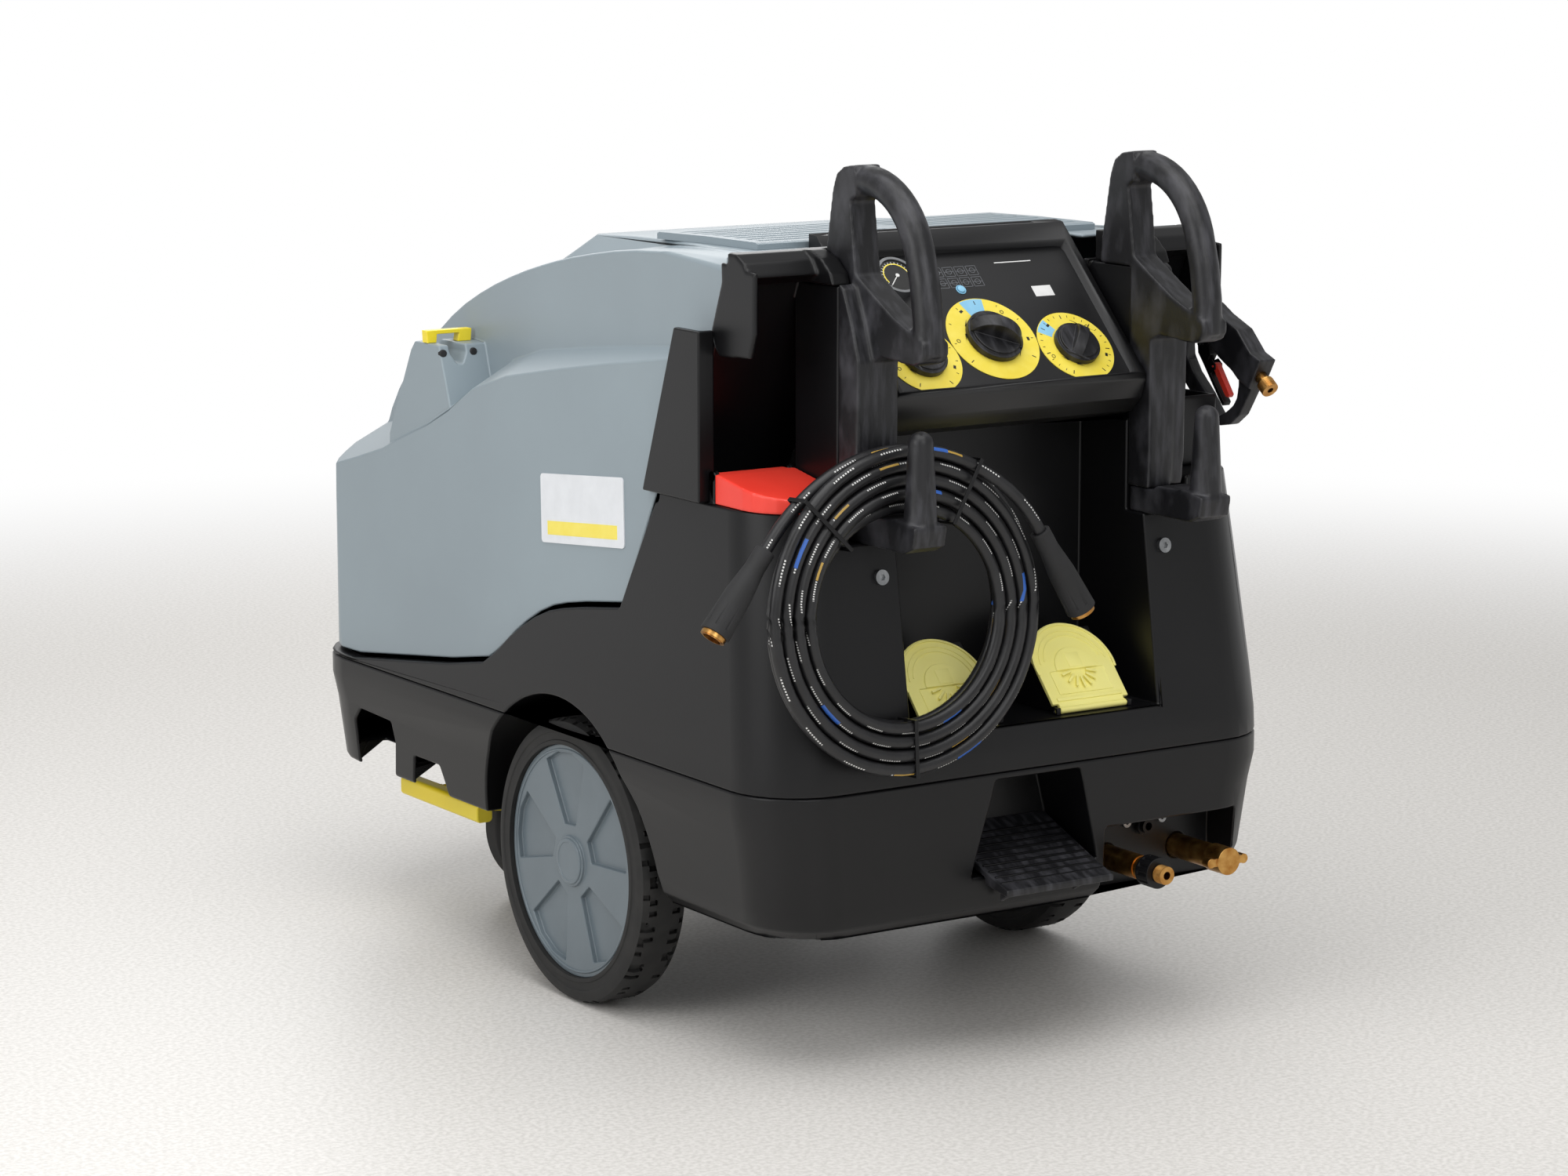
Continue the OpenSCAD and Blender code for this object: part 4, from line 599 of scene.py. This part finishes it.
for node, (name, body, slot, finish, width) in bevelled.items():
    piece = copyPart(node, name, width > 0)
    if node == "hood":
        softenEdges(piece, onDomeEdge, domeEdge["width"])
        print("hood's dome edges rounded")
    if width:
        roundEdges(piece, width)
    smoothShade(piece)
    applyModifier(piece, "WEIGHTED_NORMAL", keep_sharp=True)
    settle(piece, name, body, slot, finish, [node])
print("bevelled pieces ready")


# Small building steps
def leaningFrame(place, lean):
    # A frame at a place, tipped by lean degrees about the machine's width
    return Matrix.Translation(place) @ Matrix.Rotation(math.radians(lean), 4, "X")


def placed(base, spot, turn=(0, 0, 0)):
    # A place inside a tilted frame: location and rotation for a new primitive
    where = base @ Matrix.Translation(spot)
    for axis in (2, 1, 0):
        where = where @ Matrix.Rotation(turn[axis], 4, "XYZ"[axis])
    return {"location": where.to_translation(), "rotation": where.to_euler()}


def onCircle(middle, reach, angle):
    # A spot round a middle, level with it
    return (middle[0] + reach * math.cos(angle), middle[1] + reach * math.sin(angle), middle[2])


def easeEdges(piece, width, segments, angle=40):
    # An even bevel for a new piece; a width of 0 leaves it sharp
    if width:
        applyModifier(piece, "BEVEL", width=width, segments=segments, limit_method="ANGLE",
                      angle_limit=math.radians(angle))


def addBar(base, spot, size, edge=0, turn=(0, 0, 0)):
    bpy.ops.mesh.primitive_cube_add(size=1, **placed(base, spot, turn))
    bar = bpy.context.object
    bar.scale = size
    fixPlace(bar)
    easeEdges(bar, edge, 2, 30)
    return bar


def addDisc(base, spot, radius, thick, edge=0, sides=48, turn=(0, 0, 0)):
    where = placed(base, spot, turn)
    bpy.ops.mesh.primitive_cylinder_add(vertices=sides, radius=radius, depth=thick, **where)
    disc = bpy.context.object
    fixPlace(disc)
    easeEdges(disc, edge, 3)
    return disc


def addSector(base, spot, inner, outer, start, end, thick, edge=0):
    # Part of a flat ring between two angles in degrees, counted from the frame's X axis
    bpy.ops.mesh.primitive_circle_add(vertices=120, radius=outer, fill_type="NGON")
    sector = bpy.context.object
    bpy.ops.object.mode_set(mode="EDIT")
    bpy.ops.mesh.inset(thickness=outer - inner)
    bpy.ops.mesh.delete(type="FACE")
    bpy.ops.object.mode_set(mode="OBJECT")

    def outside(face):
        angle = math.degrees(math.atan2(face.center.y, face.center.x))
        return (angle - start) % 360 > end - start

    if end - start < 360:
        chooseFaces(sector, outside)
        bpy.ops.mesh.delete(type="FACE")
        bpy.ops.object.mode_set(mode="OBJECT")
    applyModifier(sector, "SOLIDIFY", thickness=thick, offset=1)
    easeEdges(sector, edge, 2)
    where = placed(base, spot)
    sector.location = where["location"]
    sector.rotation_euler = where["rotation"]
    fixPlace(sector)
    return sector


def addRing(base, spot, radius, thin, sides=64):
    bpy.ops.mesh.primitive_torus_add(major_radius=radius, minor_radius=thin, major_segments=sides,
                                     minor_segments=10, **placed(base, spot))
    ring = bpy.context.object
    fixPlace(ring)
    bpy.ops.object.shade_smooth()
    return ring


# Control panel
panelFrame = leaningFrame((0, rearEnd + 172 * mm, 844 * mm), 45)
dialSpec = {
    "pitch": 113 * mm, "drop": 20.5 * mm, "top": 0.9 * mm, "ink": 0.15 * mm, "film": 0.2 * mm,
    "margin": 4 * mm, "bigTick": (5.5 * mm, 1.1 * mm), "smallTick": (3.2 * mm, 0.7 * mm),
    "pictograms": (0.12, 0.34, 0.62, 0.86), "ring": (1.9 * mm, 2.6 * mm), "square": (5 * mm, 3.4 * mm),
    "pictogramShift": 1 * mm, "blueGaps": (2 * mm, 1 * mm), "blueSink": 0.05 * mm,
}
sideX = math.sqrt(dialSpec["pitch"] ** 2 - dialSpec["drop"] ** 2)
dials = [
    {"name": "mode", "at": (0, 0), "outer": 61 * mm, "knob": 36 * mm,
     "blue": (78, 112), "ticks": (-35, 215, 9)},
    {"name": "detergent", "at": (-sideX, -dialSpec["drop"]), "outer": 51 * mm, "knob": 29 * mm,
     "blue": None, "ticks": (-60, 240, 13)},
    {"name": "pressure", "at": (sideX, -dialSpec["drop"]), "outer": 51 * mm, "knob": 29 * mm,
     "blue": (124, 150), "ticks": (-60, 240, 25)},
]


def makeDialPrint(dial, spec):
    middle = (*dial["at"], spec["top"] + spec["ink"])
    first, last, count = dial["ticks"]
    marks = []
    for i in range(count):
        angle = math.radians(first + (last - first) * i / (count - 1))
        long, wide = spec["smallTick"] if i % 4 else spec["bigTick"]
        spot = onCircle(middle, dial["outer"] - spec["margin"] - long / 2, angle)
        marks.append(addBar(panelFrame, spot, (long, wide, spec["film"]), turn=(0, 0, angle)))
    # Plain round and square pictograms beside the marks
    for i, share in enumerate(spec["pictograms"]):
        angle = math.radians(first + (last - first) * share)
        spot = onCircle(middle, (dial["outer"] + dial["knob"]) / 2 + spec["pictogramShift"], angle)
        if i % 2:
            marks.append(addSector(panelFrame, spot, *spec["ring"], 0, 360, spec["film"]))
        else:
            turn = (0, 0, angle + math.pi / 2)
            marks.append(addBar(panelFrame, spot, (*spec["square"], spec["film"]), turn=turn))
    settle(joinAll(marks, "marks"), dial["name"] + "DialMarks", "machine", "dial_print", "black_ink")
    if dial["blue"]:
        spot = (*dial["at"], spec["top"] - spec["blueSink"])
        inner, outer = dial["knob"] + spec["blueGaps"][0], dial["outer"] - spec["blueGaps"][1]
        blue = addSector(panelFrame, spot, inner, outer, *dial["blue"], spec["film"])
        settle(blue, dial["name"] + "DialBlue", "machine", "dial_print", "blue_ink")


panelSpec = {
    "rows": 2, "columns": 5, "first": (-46 * mm, 104 * mm), "pitch": 17 * mm, "lift": 0.1 * mm,
    "box": 14 * mm, "line": 0.8 * mm, "film": 0.2 * mm, "ring": (3.2 * mm, 4.0 * mm),
    "strip": {"spot": (86 * mm, 113 * mm, 0.1 * mm), "size": (54 * mm, 1.4 * mm, 0.2 * mm)},
    "plate": {"spot": (108 * mm, 66 * mm, 0.12 * mm), "size": (28 * mm, 16 * mm, 0.24 * mm),
              "edge": 0.05 * mm},
    "lamp": {"spot": (-8 * mm, 76 * mm, 1.2 * mm), "radius": 5 * mm, "thick": 2.4 * mm, "edge": 1.1 * mm,
             "sides": 32},
    "bezel": {"spot": (-8 * mm, 76 * mm, 0.4 * mm), "radius": 6 * mm, "thin": 0.8 * mm, "sides": 40},
}


def makePictogram(spot, spec):
    # A ring and a bar in a thin square frame
    x, y, z = spot
    line, film = spec["line"], spec["film"]
    half, full = spec["box"] / 2, spec["box"] + line
    pieces = [
        addSector(panelFrame, spot, *spec["ring"], 0, 360, film),
        addBar(panelFrame, spot, (spec["box"], line, film)),
    ]
    for side in (-1, 1):
        pieces.append(addBar(panelFrame, (x, y + side * half, z), (full, line, film)))
        pieces.append(addBar(panelFrame, (x + side * half, y, z), (line, full, film)))
    return pieces


def makePanelPrint(spec):
    icons = []
    x, y = spec["first"]
    for row in range(spec["rows"]):
        for column in range(spec["columns"]):
            spot = (x + spec["pitch"] * column, y - spec["pitch"] * row, spec["lift"])
            icons += makePictogram(spot, spec)
    settle(joinAll(icons, "icons"), "panelPictograms", "machine", "panel_plastic", "grey_ink")
    plain = [addBar(panelFrame, **spec["strip"]), addBar(panelFrame, **spec["plate"])]
    settle(joinAll(plain, "plain"), "panelPlainLabels", "machine", "panel_plastic", "white_ink")
    lamp = joinAll([addDisc(panelFrame, **spec["lamp"]), addRing(panelFrame, **spec["bezel"])], "lamp")
    smoothShade(lamp)
    settle(lamp, "standbyLamp", "machine", "dial_print", "blue_ink")


gaugeSpec = {
    "at": (-95 * mm, 96 * mm), "faceHeight": 9.4 * mm, "face": (23.3 * mm, 0.6 * mm, 0.1 * mm),
    "arcHeight": 9.7 * mm, "arc": (17 * mm, 18.6 * mm, -30, 210, 0.15 * mm),
    "markHeight": 9.85 * mm, "marks": 21, "firstMark": 225, "markStep": 13.5, "markReach": 21 * mm,
    "bigMark": 4.5 * mm, "smallMark": 2.6 * mm, "markLine": (0.6 * mm, 0.2 * mm),
    "needleHeight": 10.6 * mm, "needle": (22 * mm, 1.2 * mm, 0.5 * mm), "needleEdge": 0.1 * mm,
    "needleOff": 6 * mm, "hub": (2.6 * mm, 1.2 * mm, 0.2 * mm, 24),
}


def makeGaugeFace(spec):
    x, y = spec["at"]
    face = addDisc(panelFrame, (x, y, spec["faceHeight"]), *spec["face"])
    settle(face, "gaugeFace", "machine", "panel_plastic", "black_ink")
    arc = addSector(panelFrame, (x, y, spec["arcHeight"]), *spec["arc"])
    settle(arc, "gaugeYellowArc", "machine", "dial_print", "dial_print")
    marks = []
    for i in range(spec["marks"]):
        angle = math.radians(spec["firstMark"] - spec["markStep"] * i)
        long = spec["smallMark"] if i % 5 else spec["bigMark"]
        spot = onCircle((x, y, spec["markHeight"]), spec["markReach"] - long / 2, angle)
        marks.append(addBar(panelFrame, spot, (long, *spec["markLine"]), turn=(0, 0, angle)))
    spot = (x - spec["needleOff"], y - spec["needleOff"], spec["needleHeight"])
    marks.append(addBar(panelFrame, spot, spec["needle"], spec["needleEdge"], (0, 0, math.radians(45))))
    marks.append(addDisc(panelFrame, (x, y, spec["needleHeight"]), *spec["hub"]))
    settle(joinAll(marks, "gauge"), "gaugeNeedleAndMarks", "machine", "dial_print", "white_ink")


for dial in dials:
    makeDialPrint(dial, dialSpec)
makePanelPrint(panelSpec)
makeGaugeFace(gaugeSpec)
print("control panel printed")


# Tyres
tyreSpec = {
    "outer": 178 * mm, "inner": 146 * mm, "wide": 66 * mm, "middle": 324 * mm, "shoulder": 11 * mm,
    "lugs": 52, "groove": 4.5 * mm, "grooveEdge": 0.8 * mm, "row": 11 * mm, "plainMiddle": 6 * mm,
    "treadDepth": 6 * mm, "wallEdge": 5 * mm, "wallSink": 1.2 * mm,
}


def makeTyre(spec, side):
    bpy.ops.mesh.primitive_cylinder_add(
        vertices=spec["lugs"] * 3, radius=spec["outer"], depth=spec["wide"], rotation=(0, math.pi / 2, 0))
    tyre = bpy.context.object
    fixPlace(tyre)
    # End faces become the side walls, and the middle is open for the disc
    chooseFaces(tyre, lambda face: abs(face.normal.x) > 0.9)
    bpy.ops.mesh.inset(thickness=spec["outer"] - spec["inner"], use_individual=True)
    bpy.ops.mesh.delete(type="FACE")
    bpy.ops.object.mode_set(mode="OBJECT")
    inside = spec["inner"] + 2 * mm
    chooseEdges(tyre, lambda a, b: max(a.yz.length, b.yz.length) < inside and abs(a.x - b.x) < 1 * mm)
    bpy.ops.mesh.bridge_edge_loops()
    bpy.ops.object.mode_set(mode="OBJECT")
    rim = spec["outer"] - 1 * mm
    chooseEdges(tyre, lambda a, b: min(a.yz.length, b.yz.length) > rim and abs(a.x - b.x) < 1 * mm)
    bpy.ops.mesh.bevel(offset=spec["shoulder"], segments=2)
    bpy.ops.object.mode_set(mode="OBJECT")
    chooseEdges(tyre, lambda a, b: min(a.yz.length, b.yz.length) > rim and abs(a.x - b.x) > 20 * mm)
    bpy.ops.mesh.subdivide(number_cuts=3)
    bpy.ops.object.mode_set(mode="OBJECT")

    def isGroove(face):
        # Every third face round the tread, one further on in each row, but none along its middle
        spot = face.center
        if spot.yz.length < spec["outer"] - spec["treadDepth"] or abs(face.normal.x) > 0.85:
            return False
        slot = math.floor(math.atan2(spot.z, spot.y) / math.tau * spec["lugs"] * 3 + 0.5)
        row = round(spot.x / spec["row"])
        return abs(spot.x) > spec["plainMiddle"] and (slot + abs(row)) % 3 == 0

    chooseFaces(tyre, isGroove)
    bpy.ops.mesh.inset(thickness=spec["grooveEdge"], depth=-spec["groove"])
    bpy.ops.object.mode_set(mode="OBJECT")
    # Side walls sunk a little inside their edges
    chooseFaces(tyre, lambda face: abs(face.normal.x) > 0.95)
    bpy.ops.mesh.inset(thickness=spec["wallEdge"])
    bpy.ops.mesh.inset(thickness=spec["wallSink"], depth=-spec["wallSink"])
    bpy.ops.object.mode_set(mode="OBJECT")
    tyre.location = (side * spec["middle"], *axlePlace)
    fixPlace(tyre)
    smoothShade(tyre, 30)
    return tyre


for word, side in (("left", -1), ("right", 1)):
    tyre = makeTyre(tyreSpec, side)
    settle(tyre, "tyre" + word.title(), "wheel_" + word, "tyre_rubber", None, ["tyre_" + word])
print("tyres ready")


# Wheel trim
trimSpec = {
    "x": 351 * mm, "cap": 29 * mm, "capHeight": 3.5 * mm, "capThick": 5 * mm, "capEdge": 1.6 * mm,
    "rimLine": 3 * mm, "sink": 0.8 * mm, "bead": 139 * mm, "beadThin": 1.6 * mm, "beadHeight": 0.2 * mm,
}


def makeWheelTrim(spec, word, side):
    # Hub cap with a sunk face, and a bead round the disc
    axleFrame = Matrix.Translation((side * spec["x"], *axlePlace))
    axleFrame = axleFrame @ Matrix.Rotation(side * math.pi / 2, 4, "Y")
    cap = addDisc(axleFrame, (0, 0, spec["capHeight"]), spec["cap"], spec["capThick"], spec["capEdge"], 64)
    chooseFaces(cap, lambda face: face.normal.x * side > 0.99)
    bpy.ops.mesh.inset(thickness=spec["rimLine"])
    bpy.ops.mesh.inset(thickness=spec["sink"], depth=-spec["sink"])
    bpy.ops.object.mode_set(mode="OBJECT")
    bead = addRing(axleFrame, (0, 0, spec["beadHeight"]), spec["bead"], spec["beadThin"], 120)
    trim = joinAll([cap, bead], "trim")
    smoothShade(trim)
    settle(trim, "wheelTrim" + word.title(), "wheel_" + word, "disc_plastic")


makeWheelTrim(trimSpec, "left", -1)
makeWheelTrim(trimSpec, "right", 1)


# Detergent lids
lidSpec = {
    "x": 95 * mm, "y": backFace + 21 * mm, "z": 404.6 * mm, "lean": 48, "top": 2.5 * mm, "round": 58 * mm,
    "arcs": [   # inner and outer radius, first and last angle, height, edge
        (55.5 * mm, 58.5 * mm, -8, 188, 2 * mm, 0.7 * mm),
        (47.5 * mm, 49 * mm, 5, 175, 1.2 * mm, 0.4 * mm),
        (41 * mm, 42.5 * mm, 12, 168, 1.2 * mm, 0.4 * mm),
    ],
    "arcSink": 0.2 * mm, "rays": 7, "firstRay": -165, "rayStep": 25, "rayReach": 19 * mm,
    "ray": (15 * mm, 3.2 * mm, 2.4 * mm), "rayEdge": 0.8 * mm, "fanY": 52 * mm, "fanLift": 1.8 * mm,
    "padY": 64 * mm, "pad": (20 * mm, 20 * mm, 1.6 * mm), "padEdge": 0.6 * mm,
    "barY": 13 * mm, "bar": (96 * mm, 5 * mm, 3 * mm), "barEdge": 1 * mm,
}


def makeLidRelief(word, side, spec):
    # Raised arcs along the lid's round edge, a fan of rays with its pad, and a bar by the hinge
    lid = leaningFrame((side * spec["x"], spec["y"], spec["z"]), spec["lean"])
    middle = (0, spec["round"], spec["top"] - spec["arcSink"])
    relief = [addSector(lid, middle, *arc) for arc in spec["arcs"]]
    fan = (0, spec["fanY"], spec["top"] + spec["fanLift"])
    for k in range(spec["rays"]):
        angle = math.radians(spec["firstRay"] + spec["rayStep"] * k)
        spot = onCircle(fan, spec["rayReach"], angle)
        relief.append(addBar(lid, spot, spec["ray"], spec["rayEdge"], (0, 0, angle)))
    relief.append(addBar(lid, (0, spec["padY"], fan[2]), spec["pad"], spec["padEdge"]))
    relief.append(addBar(lid, (0, spec["barY"], spec["top"]), spec["bar"], spec["barEdge"]))
    piece = joinAll(relief, "relief")
    smoothShade(piece)
    settle(piece, "lidRelief" + word.title(), "detergent_lid_" + word, "lid_plastic")


makeLidRelief("left", -1, lidSpec)
makeLidRelief("right", 1, lidSpec)
print("wheel trim and lids ready")


# Threads, label, clip rollers and step
threadForm = {"pitch": 1.8 * mm, "sink": 0.3 * mm, "thinPerPitch": 0.36, "sides": 48}
threads = {
    "outletThread": {"body": "machine", "place": (150 * mm, rearEnd + 53 * mm, 205 * mm), "lean": 0,
                     "radius": 11 * mm, "start": 25.5 * mm, "end": 37 * mm},
    "gunInletThread": {"body": "gun", "place": (354 * mm, rearEnd + 107 * mm, 783 * mm), "lean": 38,
                       "radius": 10.5 * mm, "start": 14 * mm, "end": 25 * mm},
}


def makeThread(name, spec, form):
    # Rings along a pin that points to the rear, tipped by its lean
    base = leaningFrame(spec["place"], spec["lean"]) @ Matrix.Rotation(math.pi / 2, 4, "X")
    radius, thin = spec["radius"] - form["sink"], form["pitch"] * form["thinPerPitch"]
    rings = []
    at = spec["start"]
    while at <= spec["end"]:
        rings.append(addRing(base, (0, 0, at), radius, thin, form["sides"]))
        at += form["pitch"]
    settle(joinAll(rings, name), name, spec["body"], "brass")


for name, spec in threads.items():
    makeThread(name, spec, threadForm)


labelSpec = {
    "y": rearEnd + 529 * mm, "z": 622.5 * mm, "inset": 9 * mm, "foot": 300 * mm, "lean": 2.4, "swing": -5.5,
    "spot": (-1.7 * mm, 0, -24 * mm), "stripe": (0.3 * mm, 166 * mm, 17 * mm), "edge": 0.1 * mm,
}


def makeLabelStripe(spec):
    # Yellow stripe along the label's lower edge, on the hood's leaning side
    lean = math.radians(spec["lean"])
    side = halfWidth - spec["inset"] - (spec["z"] - spec["foot"]) * math.tan(lean)
    base = Matrix.Translation((-side, spec["y"], spec["z"])) @ Matrix.Rotation(lean, 4, "Y")
    base = base @ Matrix.Rotation(math.radians(spec["swing"]), 4, "X")
    stripe = addBar(base, spec["spot"], spec["stripe"], spec["edge"])
    settle(stripe, "labelStripe", "hood", "label", "stripe_ink")


makeLabelStripe(labelSpec)


rollerSpec = {
    "notch": 320.5 * mm, "apart": 44 * mm, "y": noseEnd - 433 * mm, "z": 776 * mm,
    "roller": (5 * mm, 7 * mm, 1 * mm, 32),   # radius, length, edge, sides
}


def makeRollers(spec):
    # Rubber rollers either side of the notch that a lance lies in
    rollers = []
    for side in (-1, 1):
        for off in (-1, 1):
            spot = (side * (spec["notch"] + off * spec["apart"] / 2), spec["y"], spec["z"])
            rollers.append(addDisc(Matrix.Identity(4), spot, *spec["roller"], turn=(math.pi / 2, 0, 0)))
    piece = joinAll(rollers, "rollers")
    smoothShade(piece)
    settle(piece, "clipRollers", "hood", "black_plastic", "soft_rubber")


makeRollers(rollerSpec)


stepSpec = {
    "y": rearEnd + 65 * mm, "z": 228.6 * mm, "slope": math.atan2(38, 100),
    "ribs": 9, "first": -24 * mm, "pitch": 13 * mm, "rib": (150 * mm, 3 * mm, 2.4 * mm), "edge": 0.8 * mm,
}


def makeStepRibs(spec):
    # Anti-slip ribs across the tread
    ribs = []
    slope = spec["slope"]
    for k in range(spec["ribs"]):
        along = spec["first"] + spec["pitch"] * k
        spot = (0, spec["y"] + along * math.cos(slope), spec["z"] + along * math.sin(slope))
        ribs.append(addBar(Matrix.Identity(4), spot, spec["rib"], spec["edge"], (slope, 0, 0)))
    piece = joinAll(ribs, "ribs")
    smoothShade(piece)
    settle(piece, "stepRibs", "machine", "black_plastic")


makeStepRibs(stepSpec)
print("threads, label, rollers and step ready")


# Every construction part gets a finish; those that no piece stands for are shown as they are
slots = {row["node"]: row["material_slot"] for row in frame["record"]["subparts"]}
for node, part in cadNodes.items():
    part.data.materials.clear()
    part.data.materials.append(finishes.get(slots[node], finishes["black_plastic"]))
print("all parts have a finish")
